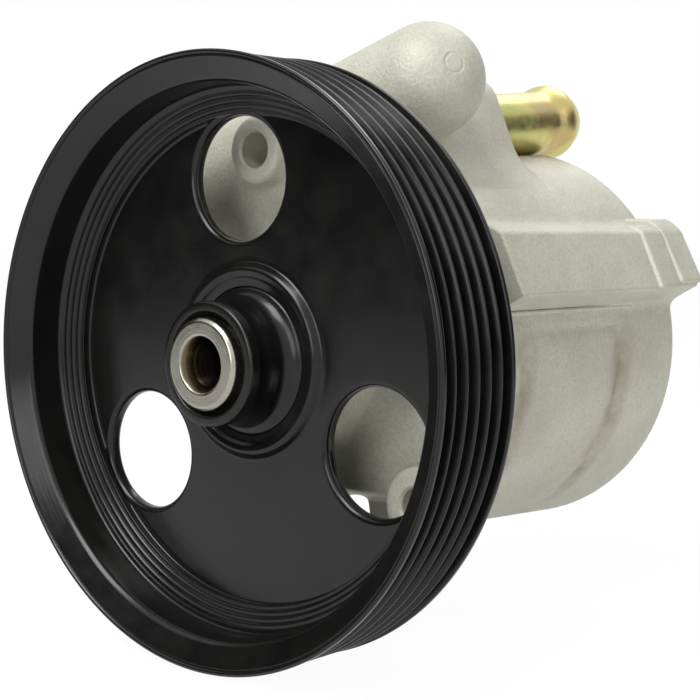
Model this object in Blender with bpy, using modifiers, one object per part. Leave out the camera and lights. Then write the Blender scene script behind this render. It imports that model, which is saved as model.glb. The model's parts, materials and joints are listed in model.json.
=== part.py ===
"""Power steering pump: cast vane pump with flow-control valve, inlet tube and six-groove belt pulley.

Metres, +Z up. The shaft turns about the Y axis, with the pulley towards -Y. The origin is on the
shaft axis, in the plane of the three bolt faces.
"""

import math

import bmesh
import bpy
from mathutils import Vector

# Clearances
SEAT_GAP = 0.0003
SHAFT_GAP = 0.0001
VALVE_GAP = 0.0001
ROTOR_GAP = 0.0003
VANE_GAP = 0.00015

# Directions of the two working axes
SHAFT_AXIS = Vector((0, 1, 0))
VALVE_TILT = math.radians(21)
VALVE_AXIS = Vector((math.cos(VALVE_TILT), 0, math.sin(VALVE_TILT)))

# Pulley
PULLEY_RADIUS = 0.063
PULLEY_WIDTH = 0.0228
PULLEY_FRONT = -0.031
GROOVES = 6
GROOVE_PITCH = 0.00356
FIRST_GROOVE = 0.0025
GROOVE_DEPTH = 0.0025
GROOVE_HALF_ANGLE = math.radians(20)
RIDGE_FLAT = 0.0007
RIDGE_DROP = 0.00025
EDGE_ROUND = 0.0007
LIP_WIDTH = 0.0062
LIP_DEPTH = 0.0035
LIP_INNER_RADIUS = PULLEY_RADIUS - LIP_WIDTH
RIM_WALL = 0.0076
RIM_INNER_RADIUS = PULLEY_RADIUS - RIM_WALL
WEB_FRONT = 0.016
WEB_THICKNESS = 0.0035
RING_STEPS = 4
RING_STEP_WIDTH = 0.001
RING_STEP_DEPTH = 0.0007
FIRST_RING_RISE = 0.002
WEB_CORNER_RADIUS = RIM_INNER_RADIUS - RING_STEPS * RING_STEP_WIDTH
SEAT_RING_RADIUS = 0.0196
SEAT_RING_HEIGHT = 0.0016
WEB_HOLES = 3
WEB_HOLE_ANGLE = math.radians(94.6)
WEB_HOLE_ROUND = 0.001
WEB_HOLE_INNER_GAP = 0.0056
WEB_HOLE_OUTER_GAP = 0.0002
WEB_HOLE_NEAREST = SEAT_RING_RADIUS + WEB_HOLE_INNER_GAP
WEB_HOLE_FURTHEST = WEB_CORNER_RADIUS - WEB_HOLE_OUTER_GAP
WEB_HOLE_RADIUS = (WEB_HOLE_FURTHEST - WEB_HOLE_NEAREST) / 2
WEB_HOLE_CIRCLE_RADIUS = (WEB_HOLE_FURTHEST + WEB_HOLE_NEAREST) / 2

# Pulley hub, with the groove that a puller grips
HUB_RADIUS = 0.0156
HUB_FRONT = 0.0036
HUB_REAR = 0.0248
COLLAR_RADIUS = 0.0129
COLLAR_LENGTH = 0.0028
NECK_RADIUS = 0.0116

# Shaft
SHAFT_RADIUS = 0.009525
SHAFT_FRONT = 0.0019
SHAFT_CHAMFER = 0.0007
SHAFT_REAR_RADIUS = 0.0082
SHAFT_BORE_RADIUS = 0.0048
SHAFT_BORE_DEPTH = 0.018
SHAFT_BORE_CHAMFER = 0.0011
CLIP_GROOVE_DEPTH = 0.0008
CLIP_WIDTH = 0.0012
CLIP_RADIUS = 0.0105

# Pump housing
NOSE_RADIUS = 0.020
NOSE_FRONT = -0.005
NOSE_LENGTH = 0.008
CONE_RADIUS = 0.030
BODY_FRONT = 0.014
BODY_FRONT_RADIUS = 0.042
BODY_REAR = 0.0885
BODY_TAPER = 0.0033
BODY_REAR_RADIUS = BODY_FRONT_RADIUS + BODY_TAPER
BODY_ROUND = 0.006
FRONT_ROUND = 0.003

# Seal and bushing in the nose
SEAL_RADIUS = 0.0150
SEAL_WIDTH = 0.007
SEAL_LIP = 0.0020
SEAL_CASE = 0.0012
BUSHING_RADIUS = 0.0120
BUSHING_LENGTH = 0.018

# Pump cartridge in the housing's bore
CARTRIDGE_RADIUS = 0.033
BORE_FLOOR = 0.0287
THRUST_PLATE_WIDTH = 0.007
CAM_WIDTH = 0.019
PRESSURE_PLATE_WIDTH = 0.0085
CAM_WALL = 0.008
CAM_LIFT = 0.0024
CAM_LONG_RADIUS = CARTRIDGE_RADIUS - CAM_WALL
CAM_SHORT_RADIUS = CAM_LONG_RADIUS - CAM_LIFT
VANES = 10
VANE_THICKNESS = 0.0018
SLOT_ROOT_SHARE = 0.58
SLOT_EXTRA_DEPTH = 0.0012
ROTOR_RADIUS = CAM_SHORT_RADIUS - ROTOR_GAP
SLOT_ROOT_RADIUS = SLOT_ROOT_SHARE * ROTOR_RADIUS
VANE_HEIGHT = ROTOR_RADIUS - SLOT_ROOT_RADIUS - SLOT_EXTRA_DEPTH
DOWEL_RADIUS = 0.002
DOWEL_INSET = 0.0039
DOWEL_CIRCLE_RADIUS = CARTRIDGE_RADIUS - DOWEL_INSET
PORT_INSET = 0.0026
PORT_CIRCLE_RADIUS = CAM_SHORT_RADIUS - PORT_INSET
PORT_HALF_WIDTH = 0.0018
PORT_SWEEP = math.radians(34)
SPRING_RADIUS = 0.013
SPRING_WIRE = 0.0011
SPRING_TURNS = 2
SPRING_LENGTH = 0.0065
COVER_WIDTH = 0.009
COVER_DISH = 0.0045
COVER_RIM = 0.012
COVER_DISH_RADIUS = CARTRIDGE_RADIUS - COVER_RIM
RING_THICKNESS = 0.0016
RING_GROOVE_DEPTH = 0.0023
RING_BAND = 0.0034
RING_OPENING = math.radians(26)
MOUTH_CHAMFER = 0.0014
ORING_SECTION = 0.0012
ORING_GROOVE_DEPTH = 2 * ORING_SECTION + SEAT_GAP

# Bolt bosses: x and z of the centre, and outer radius
BOLT_BOSSES = (
    ("top", -0.0130, 0.0450, 0.0075),
    ("right", 0.0328, -0.0293, 0.0084),
    ("left", -0.0222, -0.0385, 0.0080),
)
BOLT_HOLE_RADIUS = 0.0040
BOLT_HOLE_DEPTH = 0.0105
BOSS_LENGTH = 0.019
BOSS_DRAFT = 1.08
FLANGE_FRONT = 0.005
FLANGE_BACK = 0.018
FLANGE_UNDERSIDE = -0.0295
FLANGE_CORNER_X = 0.004
FLANGE_INSET = 0.0004

# Relief under the front of the body
RELIEF_RISE = 0.0107
RELIEF_TOP = RELIEF_RISE - BODY_FRONT_RADIUS
RELIEF_SLOPE = math.radians(12.65)
RELIEF_CENTRE_X = -0.006
RELIEF_HALF_WIDTH = 0.0155
RELIEF_LENGTH = 0.060
RELIEF_DEPTH = 0.030

# Valve boss across the top: stations along the valve axis, from its point nearest the shaft axis
VALVE_Y = 0.021
VALVE_RISE = 0.0068
VALVE_HEIGHT = BODY_FRONT_RADIUS + VALVE_RISE
DOME_STATION = 0.0395
DOME_RADIUS = 0.0126
OUTLET_STATION = -0.0225
OUTLET_RADIUS = 0.0154
VALVE_BORE_RADIUS = 0.008
VALVE_BORE_END = 0.042
UNION_THREAD_RADIUS = 0.0095
UNION_DEPTH = 0.016
UNION_HEX = 0.0125
UNION_HEX_LENGTH = 0.0095
UNION_SEAT_RADIUS = 0.006
UNION_SEAT_DEPTH = 0.013
UNION_BORE_RADIUS = 0.003
UNION_HEX_CHAMFER = 0.0012
UNION_ORING_SETBACK = 0.0024

# Flow-control spool and its spring
SPOOL_LENGTH = 0.036
SPOOL_TRAVEL = 0.004
SPOOL_FRONT_LAND = 0.008
SPOOL_REAR_LAND = 0.0145
SPOOL_WAIST_RADIUS = 0.0055
SPOOL_POCKET_RADIUS = 0.0054
SPOOL_POCKET_DEPTH = 0.008
VALVE_SPRING_WIRE = 0.0007
VALVE_SPRING_TURNS = 4

# Inlet neck and tube: the tube leaves the neck a little upwards
INLET_X = 0.004
INLET_RISE = 0.010
INLET_Z = BODY_FRONT_RADIUS + INLET_RISE
INLET_TILT = math.radians(5.5)
INLET_AXIS = Vector((0, math.cos(INLET_TILT), math.sin(INLET_TILT)))
NECK_RISE = 0.0125
NECK_TOP_RADIUS = 0.010
NECK_HALF_WIDTH = 0.0125
NECK_SHOULDER = 0.0055
NECK_FOOT_HALF_WIDTH = 0.016
NECK_FOOT_DROP = 0.002
NECK_BACK = 0.057
TUBE_RADIUS = 0.0079
TUBE_WALL = 0.0014
TUBE_BORE_RADIUS = TUBE_RADIUS - TUBE_WALL
TUBE_SOCKET_DEPTH = 0.016
TUBE_REACH = 0.0387
BEAD_HEIGHT = 0.0015
BEAD_LENGTH = 0.0105
BEAD_SETBACK = 0.0012
SUCTION_RADIUS = 0.0045
SUCTION_Y = 0.038

# Lug on the +X side: a tilted face in three steps
LUG_TILT = math.radians(24)
LUG_REACH = 0.009
LUG_FACE_DISTANCE = BODY_FRONT_RADIUS + LUG_REACH
LUG_LOW = 0.0075
LUG_HIGH = 0.0067
LUG_ROOT_DEPTH = 0.021
LUG_STEP = 0.0008
LUG_STEP_OVERLAP = 0.004
LUG_STATIONS = (BODY_FRONT, 0.0700, 0.0790, BODY_REAR)
LUG_UNDERSIDE_DROP = 0.0037
LUG_UNDERSIDE_WIDTH = 0.0069
LUG_TOP_RISE = 0.0015
LUG_TOP_WIDTH = 0.003

# Facets
PULLEY_FACETS = 32
BODY_FACETS = 32
CARTRIDGE_FACETS = 32
SHAFT_FACETS = 24
HUB_FACETS = 18
TUBE_FACETS = 16
VALVE_FACETS = 16
BOSS_FACETS = 12
SMALL_FACETS = 8
ORING_SIDES = 4
CUT_OVER = 0.002
EMPTY_SIZE = 0.010

FINISHES = {
    "cast_aluminium": ((0.62, 0.61, 0.57), 0.55, 1.0),
    "black_paint": ((0.012, 0.012, 0.013), 0.18, 0.0),
    "ground_steel": ((0.56, 0.53, 0.49), 0.28, 1.0),
    "hard_steel": ((0.40, 0.40, 0.41), 0.32, 1.0),
    "yellow_zinc": ((0.72, 0.58, 0.24), 0.30, 1.0),
    "bronze": ((0.55, 0.36, 0.18), 0.38, 1.0),
    "seal_rubber": ((0.02, 0.02, 0.022), 0.60, 0.0),
}


def clear_scene():
    for obj in list(bpy.data.objects):
        bpy.data.objects.remove(obj, do_unlink=True)


def new_collection(name):
    collection = bpy.data.collections.new(name)
    bpy.context.scene.collection.children.link(collection)
    return collection


def material(name):
    found = bpy.data.materials.get(name)
    if found:
        return found
    colour, roughness, metallic = FINISHES[name]
    made = bpy.data.materials.new(name)
    made.use_nodes = True
    shader = made.node_tree.nodes["Principled BSDF"]
    shader.inputs["Base Color"].default_value = (*colour, 1)
    shader.inputs["Roughness"].default_value = roughness
    shader.inputs["Metallic"].default_value = metallic
    made.diffuse_color = (*colour, 1)
    return made


def add_object(name, data, finish):
    """A visible piece if it has a finish, or else a hidden shape for the Booleans."""
    obj = bpy.data.objects.new(name, data)
    if finish:
        PARTS.objects.link(obj)
        data.materials.append(material(finish))
    else:
        CUTTERS.objects.link(obj)
        obj.hide_render = True
        obj.display_type = "WIRE"
    return obj


def place(obj, point, axis):
    """Puts the object's origin at a point and turns its local Z to the axis."""
    obj.location = point
    obj.rotation_euler = Vector((0, 0, 1)).rotation_difference(axis).to_euler()
    return obj


def shade(mesh, angle=35):
    mesh.shade_smooth()
    mesh.set_sharp_from_angle(angle=math.radians(angle))


def turned(name, outline, finish=None, facets=SHAFT_FACETS, point=(0, 0, 0), axis=SHAFT_AXIS):
    """Revolves a closed outline of (radius, station) points about an axis through a point."""
    area = sum(
        r0 * s1 - r1 * s0 for (r0, s0), (r1, s1) in zip(outline, outline[1:] + outline[:1])
    )
    if area > 0:
        outline = outline[::-1]
    on_axis = [i for i, (radius, _) in enumerate(outline) if radius == 0]
    closed = not on_axis
    if on_axis:
        # The outline starts and ends on the axis, where it needs no edge.
        start = next(i for i in on_axis if outline[(i + 1) % len(outline)][0] > 0)
        outline = outline[start:] + outline[:start]
    edges = [(i, i + 1) for i in range(len(outline) - 1)]
    if closed:
        edges.append((len(outline) - 1, 0))
    mesh = bpy.data.meshes.new(name)
    mesh.from_pydata([(radius, 0, station) for radius, station in outline], edges, [])
    obj = place(add_object(name, mesh, finish), point, axis)
    screw = obj.modifiers.new("Revolve", "SCREW")
    screw.steps = screw.render_steps = facets
    screw.use_merge_vertices = True
    screw.merge_threshold = 0.00001
    screw.use_smooth_shade = True
    return obj


def plate(name, outlines, front, back, finish=None):
    """A flat piece across the shaft axis, from outlines of (x, z) points: the first is the edge."""
    curve = bpy.data.curves.new(name, "CURVE")
    curve.dimensions = "2D"
    curve.fill_mode = "BOTH"
    curve.extrude = (back - front) / 2
    for outline in outlines:
        spline = curve.splines.new("POLY")
        spline.points.add(len(outline) - 1)
        for point, (x, z) in zip(spline.points, outline):
            point.co = (x, z, 0, 1)
        spline.use_cyclic_u = True
    return solid_from_curve(name, curve, finish, (0, (front + back) / 2, 0), math.radians(90))


def solid_from_curve(name, curve, finish, location=(0, 0, 0), turn=0):
    """The curve as a mesh with its caps welded on."""
    guide = bpy.data.objects.new(name + "_guide", curve)
    CUTTERS.objects.link(guide)
    guide.location = location
    guide.rotation_euler = (turn, 0, 0)
    bpy.context.view_layer.update()
    graph = bpy.context.evaluated_depsgraph_get()
    mesh = bpy.data.meshes.new_from_object(guide.evaluated_get(graph))
    mesh.materials.clear()
    mesh.name = name
    weld(mesh)
    obj = add_object(name, mesh, finish)
    obj.matrix_world = guide.matrix_world
    bpy.data.objects.remove(guide, do_unlink=True)
    return obj


def weld(mesh):
    work = bmesh.new()
    work.from_mesh(mesh)
    bmesh.ops.remove_doubles(work, verts=work.verts, dist=0.000002)
    bmesh.ops.recalc_face_normals(work, faces=work.faces)
    work.to_mesh(mesh)
    work.free()
    shade(mesh)


def cylinder(name, start, end, radius, end_radius=None, facets=SMALL_FACETS, finish=None):
    """A round bar between two points, tapered where it has an end radius."""
    start, end = Vector(start), Vector(end)
    work = bmesh.new()
    bmesh.ops.create_cone(
        work,
        cap_ends=True,
        segments=facets,
        radius1=radius,
        radius2=radius if end_radius is None else end_radius,
        depth=(end - start).length,
    )
    mesh = bpy.data.meshes.new(name)
    work.to_mesh(mesh)
    work.free()
    shade(mesh)
    return place(add_object(name, mesh, finish), (start + end) / 2, end - start)


def coil(name, finish, radius, wire, length, turns, point, axis):
    """A coil spring that starts at a point and runs along an axis, with its end turns flat."""
    steps_in_turn = 8
    steps = turns * steps_in_turn
    curve = bpy.data.curves.new(name, "CURVE")
    curve.dimensions = "3D"
    curve.bevel_depth = wire
    curve.bevel_resolution = 0
    curve.use_fill_caps = True
    spline = curve.splines.new("POLY")
    spline.points.add(steps)
    flat = 0.5 / turns
    for i, spring_point in enumerate(spline.points):
        angle = math.tau * i / steps_in_turn
        rise = min(max((i / steps - flat) / (1 - 2 * flat), 0), 1)
        station = wire + rise * (length - 2 * wire)
        spring_point.co = (radius * math.cos(angle), radius * math.sin(angle), station, 1)
    obj = solid_from_curve(name, curve, finish)
    return place(obj, point, axis)


def combine(obj, other, operation):
    modifier = obj.modifiers.new(f"{operation.title()} {other.name}", "BOOLEAN")
    modifier.operation = operation
    modifier.solver = "EXACT"
    modifier.object = other


def join(obj, *others):
    for other in others:
        combine(obj, other, "UNION")


def cut(obj, *others):
    for other in others:
        combine(obj, other, "DIFFERENCE")


def polar(radius, angle, centre=(0, 0)):
    return (centre[0] + radius * math.cos(angle), centre[1] + radius * math.sin(angle))


def arc(centre, radius, start, end, steps):
    """Points from one angle to another, both in degrees."""
    turn = math.radians(end - start)
    first = math.radians(start)
    return [polar(radius, first + turn * i / steps, centre) for i in range(steps + 1)]


def ring_points(radius, facets, centre=(0, 0)):
    return [polar(radius, math.tau * i / facets, centre) for i in range(facets)]


def on_valve_axis(station):
    across = Vector((-math.sin(VALVE_TILT), 0, math.cos(VALVE_TILT)))
    return VALVE_AXIS * station + across * VALVE_HEIGHT + Vector((0, VALVE_Y, 0))


def valve_turned(name, outline, finish=None, facets=VALVE_FACETS):
    return turned(name, outline, finish, facets, on_valve_axis(0), VALVE_AXIS)


def oring(name, outer_radius, station, facets, **line):
    """A rubber ring that fills its groove up to the outer radius."""
    centre = outer_radius - ORING_SECTION
    section = [
        (centre + x, station + y) for x, y in ring_points(ORING_SECTION, ORING_SIDES)
    ]
    return turned(name, section, "seal_rubber", facets, **line)


def make_pulley():
    """Spun steel rim: belt grooves, folded front lip, fine rings, drilled web and raised hub seat."""
    ridge = GROOVE_PITCH / 2 - RIDGE_FLAT / 2
    floor = ridge - GROOVE_DEPTH * math.tan(GROOVE_HALF_ANGLE)
    ridge_radius = PULLEY_RADIUS - RIDGE_DROP
    groove_radius = ridge_radius - GROOVE_DEPTH
    outline = [(PULLEY_RADIUS - EDGE_ROUND, 0), (PULLEY_RADIUS, EDGE_ROUND)]
    for i in range(GROOVES):
        middle = FIRST_GROOVE + i * GROOVE_PITCH
        front_radius = PULLEY_RADIUS if i == 0 else ridge_radius
        rear_radius = PULLEY_RADIUS if i == GROOVES - 1 else ridge_radius
        outline += [(front_radius, middle - ridge), (groove_radius, middle - floor)]
        outline += [(groove_radius, middle + floor), (rear_radius, middle + ridge)]
    web_rear = WEB_FRONT + WEB_THICKNESS
    outline += [
        (PULLEY_RADIUS, PULLEY_WIDTH - EDGE_ROUND / 2),
        (PULLEY_RADIUS - EDGE_ROUND / 2, PULLEY_WIDTH),
        (RIM_INNER_RADIUS, PULLEY_WIDTH),
        (RIM_INNER_RADIUS, web_rear),
        (HUB_RADIUS + SEAT_GAP, web_rear),
        (HUB_RADIUS + SEAT_GAP, WEB_FRONT - SEAT_RING_HEIGHT / 3),
        (SEAT_RING_RADIUS - SEAT_RING_HEIGHT, WEB_FRONT - SEAT_RING_HEIGHT / 2),
        (SEAT_RING_RADIUS, WEB_FRONT - SEAT_RING_HEIGHT),
        (SEAT_RING_RADIUS + SEAT_RING_HEIGHT * 0.7, WEB_FRONT),
        (WEB_CORNER_RADIUS - EDGE_ROUND, WEB_FRONT),
    ]
    first_step = WEB_FRONT - FIRST_RING_RISE
    outline += [
        (WEB_CORNER_RADIUS + RING_STEP_WIDTH * (i + 0.8), first_step - RING_STEP_DEPTH * i)
        for i in range(RING_STEPS)
    ]
    outline += [
        (LIP_INNER_RADIUS, first_step - RING_STEP_DEPTH * RING_STEPS - EDGE_ROUND),
        (LIP_INNER_RADIUS, LIP_DEPTH + EDGE_ROUND),
        (LIP_INNER_RADIUS + EDGE_ROUND, LIP_DEPTH),
        (PULLEY_RADIUS - 2 * EDGE_ROUND, EDGE_ROUND / 2),
    ]
    pulley = turned("pulley", outline, "black_paint", PULLEY_FACETS, (0, PULLEY_FRONT, 0))
    flare = WEB_HOLE_RADIUS + WEB_HOLE_ROUND
    drill = [
        (0, WEB_FRONT - EDGE_ROUND),
        (flare + EDGE_ROUND, WEB_FRONT - EDGE_ROUND),
        (WEB_HOLE_RADIUS, WEB_FRONT + WEB_HOLE_ROUND),
        (WEB_HOLE_RADIUS, web_rear + EDGE_ROUND),
        (0, web_rear + EDGE_ROUND),
    ]
    for i in range(WEB_HOLES):
        x, z = polar(WEB_HOLE_CIRCLE_RADIUS, WEB_HOLE_ANGLE + i * math.tau / WEB_HOLES)
        cut(pulley, turned(f"web_hole_{i + 1}", drill, None, HUB_FACETS, (x, PULLEY_FRONT, z)))
    return pulley


def make_hub():
    """Turned steel hub with the puller groove behind its collar."""
    bore = SHAFT_RADIUS + SEAT_GAP
    collar_rear = HUB_FRONT + COLLAR_LENGTH
    outline = [
        (bore, HUB_FRONT + EDGE_ROUND),
        (bore + EDGE_ROUND, HUB_FRONT),
        (COLLAR_RADIUS - EDGE_ROUND / 2, HUB_FRONT),
        (COLLAR_RADIUS, HUB_FRONT + EDGE_ROUND / 2),
        (COLLAR_RADIUS, collar_rear),
        (NECK_RADIUS, collar_rear + EDGE_ROUND),
        (NECK_RADIUS, collar_rear + 4 * EDGE_ROUND),
        ((NECK_RADIUS + HUB_RADIUS) / 2, WEB_FRONT - 2 * EDGE_ROUND),
        (HUB_RADIUS, WEB_FRONT - EDGE_ROUND / 2),
        (HUB_RADIUS, HUB_REAR - EDGE_ROUND),
        (HUB_RADIUS - EDGE_ROUND, HUB_REAR),
        (bore, HUB_REAR),
    ]
    return turned("pulley_hub", outline, "black_paint", HUB_FACETS, (0, PULLEY_FRONT, 0))


def stations():
    """Where each piece of the cartridge starts and ends along the shaft, front to rear."""
    found = {}
    y = BORE_FLOOR
    for name, width in (
        ("thrust_plate", THRUST_PLATE_WIDTH),
        ("cam_ring", CAM_WIDTH),
        ("pressure_plate", PRESSURE_PLATE_WIDTH),
        ("spring", SPRING_LENGTH),
        ("end_cover", COVER_WIDTH),
        ("retaining_ring", RING_THICKNESS),
    ):
        found[name] = (y + SEAT_GAP, y + SEAT_GAP + width)
        y = found[name][1]
    return found


def make_shaft(rows):
    """Drive shaft: tapped front bore, journal, rotor seat and clip groove."""
    front = PULLEY_FRONT + SHAFT_FRONT
    bore_floor = front + SHAFT_BORE_DEPTH
    clip_front = rows["cam_ring"][1] + SEAT_GAP
    clip_rear = clip_front + CLIP_WIDTH + 2 * SEAT_GAP
    rear = clip_rear + 2 * CLIP_WIDTH
    shoulder = rows["thrust_plate"][0] - SHAFT_CHAMFER
    groove_radius = SHAFT_REAR_RADIUS - CLIP_GROOVE_DEPTH
    outline = [
        (0, bore_floor + SHAFT_BORE_RADIUS / 2),
        (SHAFT_BORE_RADIUS, bore_floor),
        (SHAFT_BORE_RADIUS, front + SHAFT_BORE_CHAMFER),
        (SHAFT_BORE_RADIUS + SHAFT_BORE_CHAMFER, front),
        (SHAFT_RADIUS - SHAFT_CHAMFER, front),
        (SHAFT_RADIUS, front + SHAFT_CHAMFER),
        (SHAFT_RADIUS, shoulder),
        (SHAFT_REAR_RADIUS, shoulder),
        (SHAFT_REAR_RADIUS, clip_front),
        (groove_radius, clip_front),
        (groove_radius, clip_rear),
        (SHAFT_REAR_RADIUS, clip_rear),
        (SHAFT_REAR_RADIUS, rear),
        (0, rear),
    ]
    turned("drive_shaft", outline, "ground_steel")
    inner = groove_radius + SEAT_GAP
    gap = math.degrees(math.asin(CLIP_WIDTH / CLIP_RADIUS))
    band = arc((0, 0), CLIP_RADIUS, -90 + gap, 270 - gap, TUBE_FACETS)
    band += arc((0, 0), inner, 270 - gap, -90 + gap, TUBE_FACETS)
    plate("rotor_clip", [band], clip_front + SEAT_GAP, clip_rear - SEAT_GAP, "hard_steel")


def dowel_circles():
    holes = []
    for angle in (0, math.pi):
        centre = polar(DOWEL_CIRCLE_RADIUS, angle)
        holes.append(ring_points(DOWEL_RADIUS + SEAT_GAP, SMALL_FACETS, centre))
    return holes


def port_outlines():
    """Two kidney ports, opposite each other, outside the line of the rotor's slot roots."""
    ports = []
    sweep = math.degrees(PORT_SWEEP)
    for middle in (45, 225):
        outer = arc((0, 0), PORT_CIRCLE_RADIUS + PORT_HALF_WIDTH, middle - sweep / 2, middle + sweep / 2, 3)
        inner = arc((0, 0), PORT_CIRCLE_RADIUS - PORT_HALF_WIDTH, middle + sweep / 2, middle - sweep / 2, 3)
        ports.append(outer + inner)
    return ports


def make_cartridge(rows):
    """Thrust plate, oval cam ring, slotted rotor with its vanes, pressure plate, pins and spring."""
    rim = ring_points(CARTRIDGE_RADIUS, CARTRIDGE_FACETS)
    thrust_bore = ring_points(SHAFT_REAR_RADIUS + 2 * SHAFT_GAP, SHAFT_FACETS)
    thrust_holes = [thrust_bore] + dowel_circles() + port_outlines()
    plate("thrust_plate", [rim] + thrust_holes, *rows["thrust_plate"], "hard_steel")

    mean = (CAM_SHORT_RADIUS + CAM_LONG_RADIUS) / 2
    lift = (CAM_LONG_RADIUS - CAM_SHORT_RADIUS) / 2
    oval = [
        polar(mean - lift * math.cos(2 * angle), angle)
        for angle in (math.tau * i / CARTRIDGE_FACETS for i in range(CARTRIDGE_FACETS))
    ]
    plate("cam_ring", [rim, oval] + dowel_circles(), *rows["cam_ring"], "hard_steel")

    make_rotor(rows)

    front, back = rows["pressure_plate"]
    groove_front = (front + back - 2 * ORING_SECTION) / 2 - SEAT_GAP
    groove_back = groove_front + 2 * ORING_SECTION + 2 * SEAT_GAP
    groove_radius = CARTRIDGE_RADIUS - ORING_GROOVE_DEPTH
    clear = CLIP_RADIUS + 2 * SHAFT_GAP
    outline = [
        (clear, front),
        (CARTRIDGE_RADIUS, front),
        (CARTRIDGE_RADIUS, groove_front),
        (groove_radius, groove_front),
        (groove_radius, groove_back),
        (CARTRIDGE_RADIUS, groove_back),
        (CARTRIDGE_RADIUS, back),
        (clear, back),
    ]
    pressure_plate = turned("pressure_plate", outline, "hard_steel", CARTRIDGE_FACETS)
    middle = (groove_front + groove_back) / 2
    oring("pressure_plate_oring", CARTRIDGE_RADIUS, middle, CARTRIDGE_FACETS)
    for i, hole in enumerate(dowel_circles() + port_outlines()):
        deep = front + DOWEL_RADIUS if i < 2 else back + SEAT_GAP
        cut(pressure_plate, plate(f"pressure_plate_hole_{i + 1}", [hole], front - SEAT_GAP, deep))

    for i, angle in enumerate((0, math.pi)):
        x, z = polar(DOWEL_CIRCLE_RADIUS, angle)
        start = (x, rows["thrust_plate"][0], z)
        end = (x, front + DOWEL_RADIUS - SEAT_GAP, z)
        cylinder(f"dowel_pin_{i + 1}", start, end, DOWEL_RADIUS, finish="ground_steel")

    start, end = rows["spring"]
    coil(
        "pressure_plate_spring",
        "hard_steel",
        SPRING_RADIUS,
        SPRING_WIRE,
        end - start,
        SPRING_TURNS,
        (0, start, 0),
        SHAFT_AXIS,
    )


def make_rotor(rows):
    front, back = rows["cam_ring"]
    front += ROTOR_GAP
    back -= ROTOR_GAP
    half = VANE_THICKNESS / 2 + VANE_GAP
    edge = math.asin(half / ROTOR_RADIUS)
    pitch = math.tau / VANES
    outline = []
    for i in range(VANES):
        angle = i * pitch
        lead, trail = angle - math.pi / 2, angle + math.pi / 2
        inner = polar(SLOT_ROOT_RADIUS, angle)
        outline += [polar(ROTOR_RADIUS, angle - edge), polar(half, lead, inner)]
        outline += [polar(half, trail, inner), polar(ROTOR_RADIUS, angle + edge)]
        outline += [polar(ROTOR_RADIUS, angle + pitch * share) for share in (0.4, 0.6)]
    bore = ring_points(SHAFT_REAR_RADIUS + SEAT_GAP, SHAFT_FACETS)
    plate("rotor", [outline, bore], front, back, "hard_steel")

    work = bmesh.new()
    bmesh.ops.create_cube(work, size=1)
    bmesh.ops.scale(work, vec=(VANE_HEIGHT, back - front, VANE_THICKNESS), verts=work.verts)
    middle = (ROTOR_RADIUS - VANE_HEIGHT / 2, (front + back) / 2, 0)
    bmesh.ops.translate(work, vec=middle, verts=work.verts)
    mesh = bpy.data.meshes.new("vane")
    work.to_mesh(mesh)
    work.free()
    for i in range(VANES):
        vane = bpy.data.objects.new(f"vane_{i + 1:02d}", mesh)
        PARTS.objects.link(vane)
        vane.rotation_euler[1] = -i * pitch
    mesh.materials.append(material("ground_steel"))


def make_end_cover(rows):
    front, back = rows["end_cover"]
    groove_front = (front + back) / 2 - ORING_SECTION - SEAT_GAP
    groove_back = groove_front + 2 * ORING_SECTION + 2 * SEAT_GAP
    groove_radius = CARTRIDGE_RADIUS - ORING_GROOVE_DEPTH
    outline = [
        (0, front),
        (CARTRIDGE_RADIUS, front),
        (CARTRIDGE_RADIUS, groove_front),
        (groove_radius, groove_front),
        (groove_radius, groove_back),
        (CARTRIDGE_RADIUS, groove_back),
        (CARTRIDGE_RADIUS, back),
        (COVER_DISH_RADIUS + COVER_DISH / 2, back),
        (COVER_DISH_RADIUS, back - COVER_DISH),
        (0, back - COVER_DISH),
    ]
    turned("end_cover", outline, "hard_steel", CARTRIDGE_FACETS)
    middle = (groove_front + groove_back) / 2
    oring("end_cover_oring", CARTRIDGE_RADIUS, middle, CARTRIDGE_FACETS)

    outer = CARTRIDGE_RADIUS + RING_GROOVE_DEPTH - SEAT_GAP
    half = math.degrees(RING_OPENING) / 2
    band = arc((0, 0), outer, -90 + half, 270 - half, SHAFT_FACETS)
    band += arc((0, 0), outer - RING_BAND, 270 - half, -90 + half, SHAFT_FACETS)
    plate("end_cover_ring", [band], *rows["retaining_ring"], "hard_steel")


def make_seal_and_bushing():
    front = NOSE_FRONT
    lip = SHAFT_RADIUS + SHAFT_GAP
    outline = [
        (lip, front + SEAL_WIDTH * 0.5),
        (lip + SEAL_LIP, front + SEAT_GAP),
        (SEAL_RADIUS, front + SEAT_GAP),
        (SEAL_RADIUS, front + SEAL_WIDTH),
        (SEAL_RADIUS - SEAL_CASE, front + SEAL_WIDTH),
        (SEAL_RADIUS - SEAL_CASE, front + SEAL_WIDTH * 0.4),
        (lip + SEAL_LIP / 2, front + SEAL_WIDTH * 0.6),
    ]
    turned("shaft_seal", outline, "seal_rubber")
    start = front + SEAL_WIDTH + 2 * SEAT_GAP
    outline = [
        (SHAFT_RADIUS + SHAFT_GAP, start),
        (BUSHING_RADIUS, start),
        (BUSHING_RADIUS, start + BUSHING_LENGTH),
        (SHAFT_RADIUS + SHAFT_GAP, start + BUSHING_LENGTH),
    ]
    turned("front_bushing", outline, "bronze")


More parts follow.
